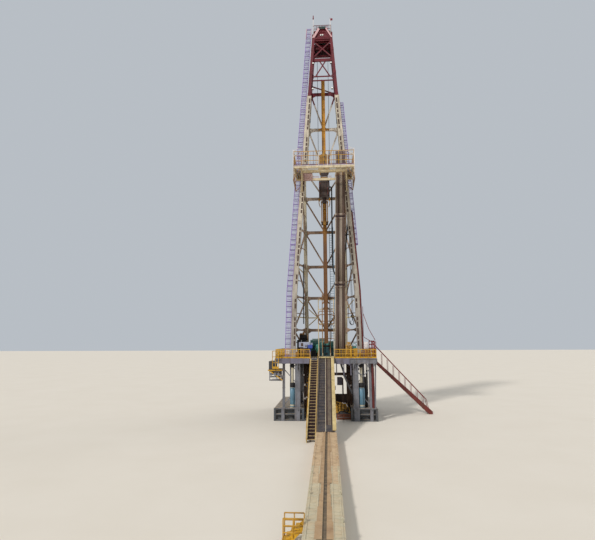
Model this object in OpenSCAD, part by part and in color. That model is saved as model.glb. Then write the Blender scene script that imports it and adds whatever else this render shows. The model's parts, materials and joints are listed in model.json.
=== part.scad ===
/* [Drill floor] */
// Height of the drill floor above the ground
floor_z = 3750; // [3500:50:4000]
// Depth of the floor structure from deck top to underside
floor_depth = 320; // [300:10:380]
// Thickness of the deck plate
deck_t = 40; // [24:2:60]
// Width of the beams under the deck
floor_beam_w = 120; // [80:10:160]
// Reach of the floor to the left of the well
floor_left = 3200; // [3100:20:3400]
// Reach of the floor to the right of the well
floor_right = 3100; // [3050:10:3300]
// Reach of the floor from the well towards the ramp
floor_front = 2750; // [2700:10:2900]
// Reach of the floor from the well to the rear
floor_rear = 3250; // [3150:10:3400]
// Height of the floor's handrails
rail_h = 550; // [450:10:600]
// Thickness of handrail tubes
rail_t = 26; // [20:2:36]

/* [Rotary table] */
// Radius of the hole through the turntable
rotary_bore_r = 238; // [180:2:260]
// Outer radius of the turntable
turntable_r = 380; // [340:5:420]
// Half width of the rotary table's casing
rotary_half = 520; // [480:10:560]
// Height of the casing above the deck
rotary_up = 50; // [30:5:80]
// Working gap round moving pieces
work_gap = 6; // [5:1:10]

/* [Substructure] */
// Height of the base boxes
base_h = 750; // [650:10:850]
// Well centre to the inner side of the left base box
base_left_in = 1450; // [1350:10:1500]
// Well centre to the outer side of the left base box
base_left_out = 3215; // [3150:5:3300]
// Well centre to the inner side of the right base box
base_right_in = 1500; // [1400:10:1550]
// Well centre to the outer side of the right base box
base_right_out = 3035; // [3000:5:3100]
// Depth of the recess in a base box's front end
base_recess = 160; // [100:10:240]
// Frame width round that recess
base_rim = 90; // [60:10:120]
// Well centre to the centre of the main columns
column_x = 1800; // [1760:5:1830]
// Width of the main columns
column_w = 300; // [240:10:320]
// Well centre to the centre of the slim outer columns
slim_x = 2675; // [2600:5:2720]
// Width of the slim outer columns
slim_w = 150; // [110:10:180]
// Distance of the first column row behind the floor's front edge
column_inset = 250; // [200:10:320]
// Well centre to the raising cylinders
cylinder_x = 2130; // [2120:2:2160]
// Radius of a raising cylinder's barrel
barrel_r = 150; // [120:5:160]
// Radius of a raising cylinder's rod
rod_r = 80; // [50:5:100]
// Length of the barrel
barrel_len = 1350; // [1100:10:1500]

/* [Drawworks] */
// Left end of the drawworks from the well
drawworks_x0 = -1225; // [-1300:5:-1150]
// Right end of the drawworks from the well
drawworks_x1 = 485; // [450:5:520]
// Front of the drawworks behind the well
drawworks_y0 = 1350; // [1300:10:1400]
// Rear of the drawworks behind the well
drawworks_y1 = 2550; // [2450:10:2650]
// Height of the drum cover
drawworks_h = 1250; // [1150:10:1320]
// Length of the drum cover
drum_len = 1100; // [1000:10:1200]
// Distance of the drum cover from the left end
drum_end = 200; // [150:10:260]

/* [Ramp and catwalk] */
// Well centre to the ramp's left edge
ramp_left = 500; // [450:10:540]
// Well centre to the ramp's right edge
ramp_right = 415; // [380:5:460]
// Horizontal run of the ramp
ramp_run = 6100; // [5600:50:6600]
// Thickness of the ramp, measured upright
ramp_t = 160; // [120:10:220]
// Height of the ramp's edge channels
ramp_edge = 70; // [50:5:100]
// Height of the catwalk
catwalk_h = 500; // [420:10:580]
// Length of one catwalk bay
catwalk_bay = 1980; // [1800:20:2200]
// Width of the pipe groove down the catwalk
groove_w = 110; // [80:5:140]
// Width of the stair beside the ramp
stair_w = 480; // [420:10:520]
// Rise of one stair step
step_rise = 125; // [115:5:140]
// Thickness of a stair tread
tread_t = 24; // [18:2:30]
// Depth of a stair's side plates
stringer_d = 170; // [140:10:200]
// Thickness of a stair's side plates
stringer_t = 30; // [20:2:40]

/* [Side platform and outer stair] */
// Height of the side platform above the ground
platform_z = 3050; // [2950:10:3150]
// Reach of the side platform to the left of the well
platform_reach = 3650; // [3550:10:3700]
// Length of the side platform
platform_len = 1750; // [1600:10:1900]
// Height of the cabin on the side platform
cabin_h = 520; // [420:10:600]
// Length of that cabin
cabin_len = 1350; // [1200:10:1500]
// Distance of the outer stair behind the well
outer_stair_y = 500; // [400:10:700]
// Width of the outer stair
outer_stair_w = 480; // [420:10:520]
// Slope of the outer stair in degrees
outer_slope = 44; // [40:1:48]
// Number of its steps
outer_steps = 28; // [26:1:30]

/* [Mast] */
// Height of the legs above the drill floor
mast_h = 23400; // [22500:50:24500]
// Well centre to a front leg at the floor
front_half_floor = 2215; // [2190:5:2250]
// Well centre to a front leg at its bend
front_half_bend = 2100; // [2080:5:2130]
// Height of that bend above the floor
bend_h = 4400; // [4200:50:4600]
// Well centre to a leg at the top of the mast
front_half_top = 665; // [640:5:690]
// Well centre to a rear leg at the floor
rear_half = 1345; // [1300:5:1380]
// Well centre to a rear leg at its knee, from where it follows the front leg
rear_half_knee = 1480; // [1460:5:1500]
// Width of a front leg
leg_w = 300; // [260:5:320]
// Depth of a leg
leg_d = 280; // [240:5:300]
// Width of the legs in the red section
top_leg_w = 200; // [180:5:220]
// Thickness of the crossed braces in the red section
top_brace = 70; // [60:5:80]
// Width of a rear leg
rear_w = 240; // [200:5:270]
// Distance of the front legs from the well line at the floor
front_gap_floor = 750; // [720:5:800]
// Distance of the front legs from the well line at the top
front_gap_top = 600; // [580:5:620]
// Distance of the rear legs from the well line at the floor
rear_gap_floor = 880; // [850:5:920]
// Distance of the rear legs from the well line at the top
rear_gap_top = 620; // [600:5:650]
// Height above the floor where the red section begins
red_h = 18820; // [18500:20:19100]
// Height above the floor of the lowest beam between the rear legs
first_level = 1825; // [1700:5:1950]
// Height of a lower bracing bay
lower_bay = 2260; // [2150:10:2350]
// Height of an upper bracing bay
upper_bay = 2540; // [2440:10:2640]
// Height above the floor of the rear beam at the racking board
board_level = 13575; // [13400:25:13700]
// Height above the floor of the rear beam over the racking board
upper_level = 16825; // [16600:25:17000]
// Depth of the beams between the legs
cross_beam = 180; // [140:5:220]
// Thickness of the diagonal braces
brace_t = 100; // [80:5:130]

/* [Crown] */
// Height of the crown gable
gable_h = 975; // [900:5:1050]
// Half width of the gable at its top
gable_half_top = 300; // [260:10:330]
// Radius of the crown sheaves
sheave_r = 440; // [410:5:450]
// Number of crown sheaves
sheaves = 5; // [3:1:6]
// Height of the sheaves' axle above the mast's top
axle_up = 600; // [560:10:640]
// Length of the crown sheave cluster
sheave_span = 420; // [360:10:460]
// Radius of the crown axle
axle_r = 50; // [40:2:70]
// Half width of the walkway round the crown sheaves
walk_half = 690; // [675:5:710]
// Height of that walkway above the mast's top
walk_up = 800; // [760:10:850]
// Height of the beacon posts above the mast's top
beacon_h = 1800; // [1700:20:1900]

/* [Guide rail] */
// Width of the guide rail
guide_w = 270; // [220:5:290]
// Depth of the guide rail
guide_d = 180; // [140:5:200]
// Well centre to the middle of the guide rail
guide_y = 390; // [375:5:410]
// Height of the guide rail's foot above the floor
guide_from = 900; // [700:20:1100]
// Height of the guide rail's top above the arched rear beam
guide_over = 950; // [500:50:1100]

/* [Travelling assembly] */
// Height above the floor of the lowest point of the elevator
elevator_z = 9250; // [8900:50:9600]
// Width of the top drive's motor housing
drive_w = 765; // [720:5:800]
// Depth of the top drive's motor housing
drive_d = 480; // [420:10:500]
// Height of the motor housing
drive_h = 1100; // [1000:10:1200]
// Distance from the motor housing up to the block's sheaves
yoke_h = 1310; // [1250:10:1400]
// Radius of one drill line
line_r = 12; // [8:1:16]
// Length of the elevator links
link_len = 1500; // [1400:10:1600]
// Radius of an elevator link
link_r = 34; // [26:2:42]

/* [Racking board] */
// Height of the racking board above the floor
board_h = 12350; // [12000:50:12700]
// Half width of the racking board
board_half = 1990; // [1940:10:2060]
// Reach of the board from the well towards the ramp
board_front = 3250; // [3100:10:3400]
// Reach of the board's rack beam from the well towards the ramp
rack_front = 2350; // [2250:10:2450]
// Well centre to the beams that carry the board on the legs
rack_half = 1500; // [1490:5:1510]
// Width of the board's beams
board_w = 80; // [60:5:90]
// Depth of the board's beams
board_beam = 160; // [120:10:200]
// Height of the board's railing
board_rail_h = 1000; // [850:10:1100]
// Width of a finger
finger_w = 32; // [24:2:32]

/* [Pipe stands] */
// Radius of a drill pipe
pipe_r = 36; // [30:1:38]
// Radius of a tool joint
joint_r = 44; // [40:1:46]
// Spacing of the stands from row to row
stand_pitch = 98; // [95:1:104]
// Spacing of the rows of stands
row_pitch = 98; // [95:1:102]
// Thickness of the tray under the stands
setback_t = 60; // [40:5:80]
// Number of rows of stands
stand_cols = 7; // [4:1:7]
// Stands in a row
stand_rows = 5; // [3:1:6]
// Reach of the stands above the racking board
stand_over = 1710; // [1500:10:1900]
// Well centre to the first stand at its foot
stand_x = 585; // [575:1:590]
// Distance of the rearmost stands from the well towards the ramp
stand_back = 1250; // [1200:10:1300]
// Sideways lean of the stands in degrees
stand_lean = 1.1; // [1:0.05:1.15]

/* [Well head] */
// Radius of the blowout preventer's flanges
flange_r = 280; // [240:5:320]
// Radius of the blowout preventer's bore
well_bore_r = 85; // [70:5:110]

/* [Ladders] */
// Width of the left ladder
ladder_left_w = 340; // [300:10:360]
// Width of the right ladder
ladder_right_w = 230; // [200:10:260]
// Thickness of a ladder's side bars
ladder_bar = 24; // [20:2:40]
// Depth of the safety cage
cage_d = 320; // [280:10:360]
// Gap between the left ladder and the leg
ladder_left_gap = 70; // [50:5:90]
// Gap between the right ladder and the leg
ladder_right_gap = 30; // [20:5:50]
// Height of the right ladder's foot above the floor
ladder_right_from = 7650; // [7400:50:7900]
// Height of the right ladder's top above the floor
ladder_right_to = 18250; // [18000:50:18700]
// Spacing of the ladder's main rungs
rung_pitch = 600; // [500:10:700]

/* [Standpipe] */
// Radius of the standpipe
standpipe_r = 60; // [40:2:70]
// Radius of the fluid riser beside the columns
riser_r = 90; // [70:5:95]
// Height of the standpipe above the floor
standpipe_h = 9800; // [9500:50:10100]

/* [Hidden] */

ROUND = 48;
under_z = floor_z - floor_depth;
mast_top = floor_z + mast_h;
red_z = floor_z + red_h;
top_h = mast_top - red_z;
arch_z = red_z + 0.192 * top_h;
splice_z = red_z + 0.274 * top_h;
tie_z = red_z + 0.345 * top_h;
deep_z = red_z + 0.634 * top_h;
low_x_z = red_z + 0.668 * top_h;
back_z = red_z + 0.884 * top_h;
levels = [for (h = [first_level, first_level + lower_bay, first_level + 2 * lower_bay,
    first_level + 2 * lower_bay + upper_bay, first_level + 2 * lower_bay + 2 * upper_bay])
    floor_z + h];
board_z = floor_z + board_h;
stand_len = board_h - setback_t + stand_over;
front_edge = -floor_front;
ramp_end = front_edge - ramp_run;
column_rows = [front_edge + column_inset, 200, floor_rear - column_inset];

// Share of the way up the mast
function share(z) = (z - floor_z) / mast_h;
function lerp(a, b, t) = a + (b - a) * t;
function front_x(z) = z < bend_z ? lerp(front_half_floor, front_half_bend, (z - floor_z) / bend_h)
    : lerp(front_half_bend, front_half_top, (z - bend_z) / (mast_top - bend_z));
function front_y(z) = -lerp(front_gap_floor, front_gap_top, share(z));
function rear_x(z) = z < knee_z ? lerp(rear_half, rear_half_knee, (z - floor_z) / (knee_z - floor_z))
    : front_x(z);
function rear_y(z) = lerp(rear_gap_floor, rear_gap_top, share(z));
function front_pt(side, z) = [side * front_x(z), front_y(z), z];
function rear_pt(side, z) = [side * rear_x(z), rear_y(z), z];
function leg_pt(side, front, z) = front ? front_pt(side, z) : rear_pt(side, z);
bend_z = floor_z + bend_h;
knee_z = lerp(bend_z, mast_top, (front_half_bend - rear_half_knee) / (front_half_bend - front_half_top));

// Square bar from p to q, w across and d deep
module bar(p, q, w, d) {
    v = q - p;
    length = norm(v);
    translate(p)
        rotate([-asin(v.y / length), atan2(v.x, v.z), 0])
            translate([-w / 2, -d / 2, 0])
                cube([w, d, length]);
}

// Round rod from p to q
module rod(p, q, r, sides = ROUND) {
    v = q - p;
    length = norm(v);
    translate(p)
        rotate([-asin(v.y / length), atan2(v.x, v.z), 0])
            cylinder(r = r, h = length, $fn = sides);
}

// Box given by its two corners
module box(a, b) {
    translate(a)
        cube(b - a);
}

spreader_h = 300;
strut_t = 140;
spreader_rows = [-1300, 1300, column_rows[2]];
stack_body_h = 420;
stack_h = 2100;
strut_drop = 900;
casing_depth = 300;
stair_x0 = -ramp_left - stair_w;
steps = round(floor_z / step_rise);
access_steps = 5;
step_run = ramp_run / steps;
girder_w = 90;
catwalk_x0 = 25 - ramp_left;
catwalk_x1 = ramp_right + 35;
deck_plate = 70;
foot_level = 150;
rear_levels = concat([floor_z + foot_level], levels, [floor_z + board_level, floor_z + upper_level]);
side_levels = concat(rear_levels, [red_z - cross_beam]);
beam_depth = brace_t + 20;
bend_lap = 12;
leg_cut = 60;
gable_plate = 110;
gable_rim = gable_plate * 1.2;
crown_half = front_half_top + top_leg_w / 2;
beacon_left_x = 660;
beacon_right_x = 610;
beacon_r = 18;
walk_bar_t = 24;
crown_beam = 150;
board_top = board_z + board_beam / 2;
board_back = front_y(board_z) - leg_d / 2;
sheave_rim = 55;
sheave_core = sheave_r - sheave_rim;
sheave_axis_z = mast_top + axle_up;
line_x = sheave_core + line_r + work_gap;
line_ys = [for (k = [0:sheaves - 1]) sheave_span * ((k + 0.5) / sheaves - 0.5)];
pedestal_t = 60;
frame_t = 60;
link_span = 400;
pin_r = 30;
pin_gap = 2;
link_pin_z = floor_z + elevator_z + 200 + link_len;
drive_top = link_pin_z + 300 + drive_h;
block_axis_z = drive_top + yoke_h + sheave_r;
carriage_front = guide_y - guide_d / 2 - work_gap;

// Box base with a framed recess and a lifting lug at its front end
module base_box(x0, x1) {
    difference() {
        box([x0, front_edge, 0], [x1, floor_rear, base_h]);
        for (y = [front_edge, floor_rear])
            box([x0 + base_rim, y - base_recess, base_rim],
                [x1 - base_rim, y + base_recess, base_h - base_rim]);
    }
}

module base_box_left() {
    color("slategray") base_box(-base_left_out, -base_left_in);
}

module base_box_right() {
    color("slategray") base_box(base_right_in, base_right_out);
}

// Main and slim columns of one side, standing on the base box under the floor
module columns(side) {
    for (y = column_rows)
        translate([side * column_x - column_w / 2, y - column_w / 2, base_h])
            cube([column_w, column_w, under_z - base_h]);
    for (y = [column_rows[0], column_rows[2]])
        translate([side * slim_x - slim_w / 2, y - slim_w / 2, base_h])
            cube([slim_w, slim_w, under_z - base_h]);
}

module columns_left() {
    color("dimgray") columns(-1);
}

module columns_right() {
    color("dimgray") columns(1);
}

// Raising cylinders beside the front columns, rod uppermost
module raising_cylinders() {
    color("lightgray")
        for (side = [-1, 1])
            translate([side * cylinder_x, front_edge + column_inset, base_h]) {
                cylinder(r = barrel_r, h = barrel_len, $fn = ROUND);
                cylinder(r = rod_r, h = under_z - base_h, $fn = ROUND);
            }
}

// Spreaders between the base boxes and struts between the columns
module substructure_braces() {
    color("dimgray") difference() {
        union() {
            for (y = spreader_rows)
                box([-base_left_in, y - spreader_h / 2, 0], [base_right_in, y + spreader_h / 2, spreader_h]);
            for (side = [-1, 1]) {
                for (k = [0, 1]) {
                    x = side * column_x;
                    low = base_h + strut_t;
                    high = under_z - strut_t;
                    bar([x, column_rows[k], low], [x, column_rows[k + 1], high], strut_t, strut_t);
                    bar([x, column_rows[k + 1], low], [x, column_rows[k], high], strut_t, strut_t);
                }
                bar([side * column_x, column_rows[2], base_h + strut_t],
                    [side * base_right_in * 0.6, column_rows[2], under_z + strut_t], strut_t, strut_t);
            }
        }
        columns(-1);
        columns(1);
        box([-floor_left, front_edge, under_z], [floor_right, floor_rear, floor_z]);
        base_box(-base_left_out, -base_left_in);
        base_box(base_right_in, base_right_out);
    }
}

// Stack of valves on the well head, bored through
module blowout_preventer() {
    flange_h = 70;
    body_r = flange_r * 0.75;
    rams = [300, 900, 1500];
    color("saddlebrown") difference() {
        union() {
            cylinder(r = body_r, h = stack_h, $fn = ROUND);
            for (z = [0, 800, 1400, stack_h - flange_h])
                translate([0, 0, z])
                    cylinder(r = flange_r, h = flange_h, $fn = ROUND);
            for (z = rams)
                translate([0, 0, z + stack_body_h / 2])
                    cube([1150, 300, 260], center = true);
        }
        translate([0, 0, -1])
            cylinder(r = well_bore_r, h = stack_h + 2, $fn = ROUND);
    }
}

// Deck plate on a grid of beams, open for the rotary table
module drill_floor() {
    w = floor_beam_w;
    color("gray") difference() {
        union() {
            box([-floor_left, front_edge, floor_z - deck_t], [floor_right, floor_rear, floor_z]);
            for (y = concat(column_rows, [-front_gap_floor, rear_gap_floor]))
                box([-floor_left, y - w / 2, under_z], [floor_right, y + w / 2, floor_z - deck_t / 2]);
            for (y = [front_edge, floor_rear - w])
                box([-floor_left, y, under_z], [floor_right, y + w, floor_z - deck_t / 2]);
            for (x = [slim_x, front_half_floor, column_x, rear_half, rotary_half + w / 2])
                for (side = [-1, 1])
                    box([side * x - w / 2, front_edge, under_z],
                        [side * x + w / 2, floor_rear, floor_z - deck_t / 2]);
            for (x = [-floor_left, floor_right - w])
                box([x, front_edge, under_z], [x + w, floor_rear, floor_z - deck_t / 2]);
        }
        box([-rotary_half, -rotary_half, under_z - 1], [rotary_half, rotary_half, floor_z + 1]);
    }
}

// Fixed casing of the rotary table
module rotary_casing() {
    color("darkgreen") difference() {
        box([-rotary_half, -rotary_half, floor_z - casing_depth],
            [rotary_half, rotary_half, floor_z + rotary_up]);
        translate([0, 0, floor_z - casing_depth + 60])
            cylinder(r = turntable_r + work_gap, h = casing_depth + rotary_up, $fn = ROUND);
        translate([0, 0, under_z])
            cylinder(r = rotary_bore_r + 40, h = floor_depth, $fn = ROUND);
    }
}

// Turning ring of the rotary table
module turntable() {
    color("silver") difference() {
        translate([0, 0, floor_z - casing_depth + 60 + work_gap])
            cylinder(r = turntable_r, h = casing_depth - 60 - work_gap + rotary_up + 20, $fn = ROUND);
        translate([0, 0, under_z])
            cylinder(r = rotary_bore_r, h = floor_depth + 200, $fn = ROUND);
    }
}

// Straight handrail with posts, standing on height z from p to q
module railing(p, q, h, posts, bars = [0.5, 1]) {
    for (k = [0:posts]) {
        a = lerp(p, q, k / posts);
        bar(a, a + [0, 0, h], rail_t, rail_t);
    }
    for (f = bars)
        bar(p + [0, 0, f * h - rail_t / 2], q + [0, 0, f * h - rail_t / 2], rail_t, rail_t);
}

module floor_railings() {
    inset = rail_t;
    y0 = front_edge + inset;
    y1 = floor_rear - inset;
    x0 = -floor_left + inset;
    x1 = floor_right - inset;
    color("goldenrod") {
        railing([x0, y0, floor_z], [-ramp_left - stair_w - 60, y0, floor_z], rail_h, 4);
        railing([ramp_right + 100, y0, floor_z], [x1, y0, floor_z], rail_h, 5);
        railing([x0, y0, floor_z], [x0, y1, floor_z], rail_h, 8);
        railing([x0, y1, floor_z], [x1, y1, floor_z], rail_h, 8);
        railing([x1, outer_stair_y + outer_stair_w / 2 + 60, floor_z], [x1, y1, floor_z], rail_h, 3);
        railing([x1, y0, floor_z], [x1, outer_stair_y - outer_stair_w / 2 - 60, floor_z], rail_h, 4);
    }
}

// Winch housing behind the mast with a round drum cover
module drawworks() {
    drum_r = drawworks_h / 2;
    color("teal") difference() {
        union() {
            box([drawworks_x0, drawworks_y0, floor_z],
                [drawworks_x1, drawworks_y1, floor_z + drawworks_h * 0.55]);
            translate([drawworks_x0 + drum_end, (drawworks_y0 + drawworks_y1) / 2, floor_z + drum_r])
                rotate([0, 90, 0])
                    cylinder(r = drum_r, h = drum_len, $fn = ROUND);
        }
        box([drawworks_x0 - 1, drawworks_y0 - drum_r, floor_z - 2 * drum_r],
            [drawworks_x1 + 1, drawworks_y1 + drum_r, floor_z]);
    }
}

// Raised tray that the pipe stands rest on
module pipe_setback() {
    color("dimgray")
        box([stand_x - row_pitch, -stand_back - (stand_rows - 0.2) * stand_pitch, floor_z],
            [stand_x + stand_cols * row_pitch, -stand_back + 0.8 * stand_pitch, floor_z + setback_t]);
}

// Sloping slide for pipe, with raised edges
module v_door_ramp() {
    color("gray") {
        strip(-ramp_left, ramp_right, 0, -ramp_t);
        strip(-ramp_left, -ramp_left + 60, ramp_edge, -ramp_t / 2);
        strip(ramp_right - 60, ramp_right, ramp_edge, -ramp_t / 2);
    }
}

// Slab along the ramp's slope between heights up and down from it
module strip(x0, x1, up, down) {
    translate([x0, 0, 0])
        rotate([90, 0, 90])
            linear_extrude(height = x1 - x0)
                polygon([[front_edge, floor_z + down], [front_edge, floor_z + up],
                    [ramp_end, catwalk_h + up], [ramp_end, catwalk_h + down]]);
}

module ramp_stair_sides() {
    color("khaki")
        for (x = [stair_x0, -ramp_left - stringer_t])
            translate([x, 0, 0])
                rotate([90, 0, 90])
                    linear_extrude(height = stringer_t)
                        polygon([[front_edge, floor_z - stringer_d], [front_edge, floor_z],
                            [ramp_end, stringer_d], [ramp_end, 0], [ramp_end + 2 * stringer_d, 0]]);
}

module ramp_stair_treads() {
    color("gray")
        for (k = [1:steps - 1])
            box([stair_x0 + stringer_t, front_edge - k * step_run, floor_z * (1 - k / steps) - tread_t],
                [-ramp_left - stringer_t, front_edge - (k - 1) * step_run - 20, floor_z * (1 - k / steps)]);
}

// Half of the catwalk: three bays of plated deck on side girders
module catwalk_part(y0, bays) {
    y1 = y0 - bays * catwalk_bay;
    x0 = catwalk_x0;
    x1 = catwalk_x1;
    w = girder_w;
    difference() {
        box([x0, y1, 0], [x1, y0, catwalk_h]);
        box([x0 + w, y1 - 1, -1], [x1 - w, y0 + 1, catwalk_h - 2 * deck_plate]);
        box([-groove_w / 2, y1 - 1, catwalk_h - deck_plate / 2], [groove_w / 2, y0 + 1, catwalk_h + 1]);
    }
    for (k = [0:bays]) {
        y = y0 - k * catwalk_bay;
        box([x0 + w / 2, max(y1, y - w / 2), 0],
            [x1 - w / 2, min(y0, y + w / 2), catwalk_h - 1.5 * deck_plate]);
    }
}

module catwalk_rear() {
    color("peru") catwalk_part(ramp_end, 3);
}

module catwalk_front() {
    color("tan") catwalk_part(ramp_end - 3 * catwalk_bay, 3);
}

// Short stair on the catwalk's left side
module catwalk_steps() {
    w = stair_w * 0.8;
    rise = catwalk_h / access_steps;
    going = rise * 1.1;
    x0 = catwalk_x0 - access_steps * going;
    y0 = ramp_end - 5.4 * catwalk_bay;
    lap = stringer_t / 2;
    color("gold") {
        for (y = [y0, y0 - w + stringer_t])
            translate([x0, y, 0])
                rotate([90, 0, 0])
                    translate([0, 0, -stringer_t])
                        linear_extrude(height = stringer_t)
                            polygon([[0, 0], [going * 1.2, 0], [access_steps * going, catwalk_h - going],
                                [access_steps * going, catwalk_h], [0, rise * 0.6]]);
        for (k = [1:access_steps - 1])
            box([x0 + (k - 1) * going, y0 - w + lap, k * rise - tread_t],
                [x0 + k * going - work_gap, y0 + lap, k * rise]);
    }
}

// Platform hung on the left of the floor, lower than the deck
module side_platform() {
    x0 = -platform_reach;
    x1 = -slim_x - slim_w / 2;
    t = girder_w * 0.7;
    y1 = front_edge + platform_len;
    color("goldenrod") {
        box([x0, front_edge, platform_z - t], [x1, y1, platform_z]);
        for (y = [front_edge + t, front_edge + platform_len / 2, y1 - t])
            bar([x0 + t, y, platform_z - t / 2], [x1, y, platform_z - 10 * t], t, t);
    }
}

module side_cabin() {
    y0 = front_edge + girder_w;
    color("darkslategray")
        box([girder_w / 2 - platform_reach, y0, platform_z],
            [-floor_left - work_gap * 4, y0 + cabin_len, platform_z + cabin_h]);
}

// Stair going down to the right from the floor's edge
module outer_stair() {
    n = outer_steps;
    run = floor_z / tan(outer_slope) / n;
    rise = floor_z / n;
    x1 = floor_right + n * run;
    y0 = outer_stair_y - outer_stair_w / 2;
    y1 = outer_stair_y + outer_stair_w / 2;
    lap = stringer_t / 2;
    color("firebrick") {
        for (y = [y0, y1 - stringer_t])
            translate([0, y + stringer_t, 0])
                rotate([90, 0, 0])
                    linear_extrude(height = stringer_t)
                        polygon([[floor_right, floor_z - stringer_d * 1.4], [floor_right, floor_z],
                            [x1, stringer_d], [x1, 0], [x1 - stringer_d * 1.4, 0]]);
        for (k = [1:n - 1])
            box([floor_right + (k - 1) * run + tread_t, y0 + lap, floor_z - k * rise - tread_t],
                [floor_right + k * run + tread_t, y1 - lap, floor_z - k * rise]);
    }
}

// Leg from height z0 to z1, bent once on its way
module leg(side, front, z0, z1) {
    turn = front ? bend_z : knee_z;
    w = front ? leg_w : rear_w;
    if (z0 < turn)
        bar(leg_pt(side, front, z0), leg_pt(side, front, min(turn, z1)), w, leg_d);
    if (z1 > turn)
        bar(leg_pt(side, front, max(z0, turn - bend_lap)), leg_pt(side, front, z1), w, leg_d);
}

// Level cut so that leaning legs end on a flat plane
module between(z0, z1) {
    intersection() {
        children();
        box([-4000, -4000, z0], [4000, 4000, z1]);
    }
}

module leg_down(side, front) {
    between(floor_z, red_z) leg(side, front, floor_z - leg_cut, red_z + leg_cut);
}

module front_leg_left() {
    color("antiquewhite") leg_down(-1, true);
}

module front_leg_right() {
    color("antiquewhite") leg_down(1, true);
}

module rear_legs() {
    color("darkseagreen") {
        leg_down(-1, false);
        leg_down(1, false);
    }
}

// Struts and diagonals between the front and rear legs of one side
module side_bracing(side) {
    difference() {
        for (k = [0:len(side_levels) - 1]) {
            z = side_levels[k];
            bar(front_pt(side, z), rear_pt(side, z), brace_t, brace_t);
            if (k > 0) {
                below = side_levels[k - 1];
                rising = k % 2 == 0;
                bar(front_pt(side, rising ? below : z), rear_pt(side, rising ? z : below), brace_t, brace_t);
            }
        }
        for (front = [true, false])
            leg(side, front, floor_z - leg_cut, red_z + leg_cut);
    }
}

module side_bracing_left() {
    color("rosybrown") side_bracing(-1);
}

module side_bracing_right() {
    color("rosybrown") side_bracing(1);
}

// V of two braces from the rear legs at height z down to the middle of the beam below
module v_brace(z, below) {
    for (side = [-1, 1])
        bar(rear_pt(side, z), [0, rear_y(below), below], brace_t, brace_t);
}

// Beams between the rear legs with V braces below each
module rear_bracing() {
    color("ivory") difference() {
        between(floor_z, red_z)
            for (k = [1:len(rear_levels) - 1]) {
                z = rear_levels[k];
                bar(rear_pt(-1, z), rear_pt(1, z), cross_beam, beam_depth);
                v_brace(k + 1 < len(rear_levels) ? rear_levels[k + 1] : arch_z, z);
            }
        for (side = [-1, 1])
            leg(side, false, floor_z - leg_cut, red_z + leg_cut);
    }
}

// Leg of the red section, a little longer than the section at both ends
module top_leg(side, front) {
    bar(leg_pt(side, front, red_z - leg_cut), leg_pt(side, front, mast_top + leg_cut), top_leg_w, leg_d);
}

// Red top of the mast: four legs, beams, crossed braces and the plate at the rear
module mast_top_section() {
    upper = mast_top - brace_t;
    t = top_brace;
    x_top = 0.34;
    x_foot = 0.6;
    color("firebrick") between(red_z, mast_top) {
        for (side = [-1, 1])
            for (front = [true, false])
                top_leg(side, front);
        bar(rear_pt(-1, arch_z), rear_pt(1, arch_z), cross_beam * 1.2, beam_depth);
        v_brace(arch_z, floor_z + upper_level);
        bar(rear_pt(-1, tie_z), rear_pt(1, arch_z), t, t);
        bar(rear_pt(-1, back_z), rear_pt(1, back_z), cross_beam, brace_t);
        translate([0, rear_y(mast_top) + deck_t, 0])
            rotate([90, 0, 0])
                linear_extrude(height = deck_t)
                    polygon([[-rear_x(back_z), back_z], [rear_x(back_z), back_z],
                        [rear_x(mast_top), mast_top], [-rear_x(mast_top), mast_top]]);
        for (z = [splice_z, tie_z, mast_top - brace_t / 2])
            bar(front_pt(-1, z), front_pt(1, z), t, t);
        bar(front_pt(-1, deep_z), front_pt(1, deep_z), cross_beam * 1.2, brace_t);
        for (side = [-1, 1]) {
            for (z = [arch_z, tie_z, deep_z, mast_top - brace_t / 2])
                bar(front_pt(side, z), rear_pt(side, z), t, t);
            bar(front_pt(side, low_x_z), front_pt(-side, upper), t, t);
            bar(front_pt(side * x_top, deep_z), front_pt(-side * x_foot, tie_z), t, t);
            bar(front_pt(side, arch_z), rear_pt(side, tie_z), t, t);
            bar(rear_pt(side, tie_z), front_pt(side, deep_z), t, t);
            bar(front_pt(side, deep_z), rear_pt(side, upper), t, t);
        }
    }
}

// Corners of the window in a gable, grown by some way
function window(grow) = [
    [-crown_half + gable_rim - grow, crown_beam - grow], [crown_half - gable_rim + grow, crown_beam - grow],
    [gable_half_top - gable_rim / 2 + grow, gable_h - gable_plate + grow],
    [-gable_half_top + gable_rim / 2 - grow, gable_h - gable_plate + grow]];

// Sloping frame over one face of the mast, its middle at y
module gable(y) {
    translate([0, y + crown_beam / 2, mast_top])
        rotate([90, 0, 0])
            linear_extrude(height = crown_beam)
                difference() {
                    polygon([[-crown_half, 0], [crown_half, 0], [crown_half, crown_beam],
                        [gable_half_top, gable_h], [-gable_half_top, gable_h], [-crown_half, crown_beam]]);
                    polygon(window(0));
                }
}

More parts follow.
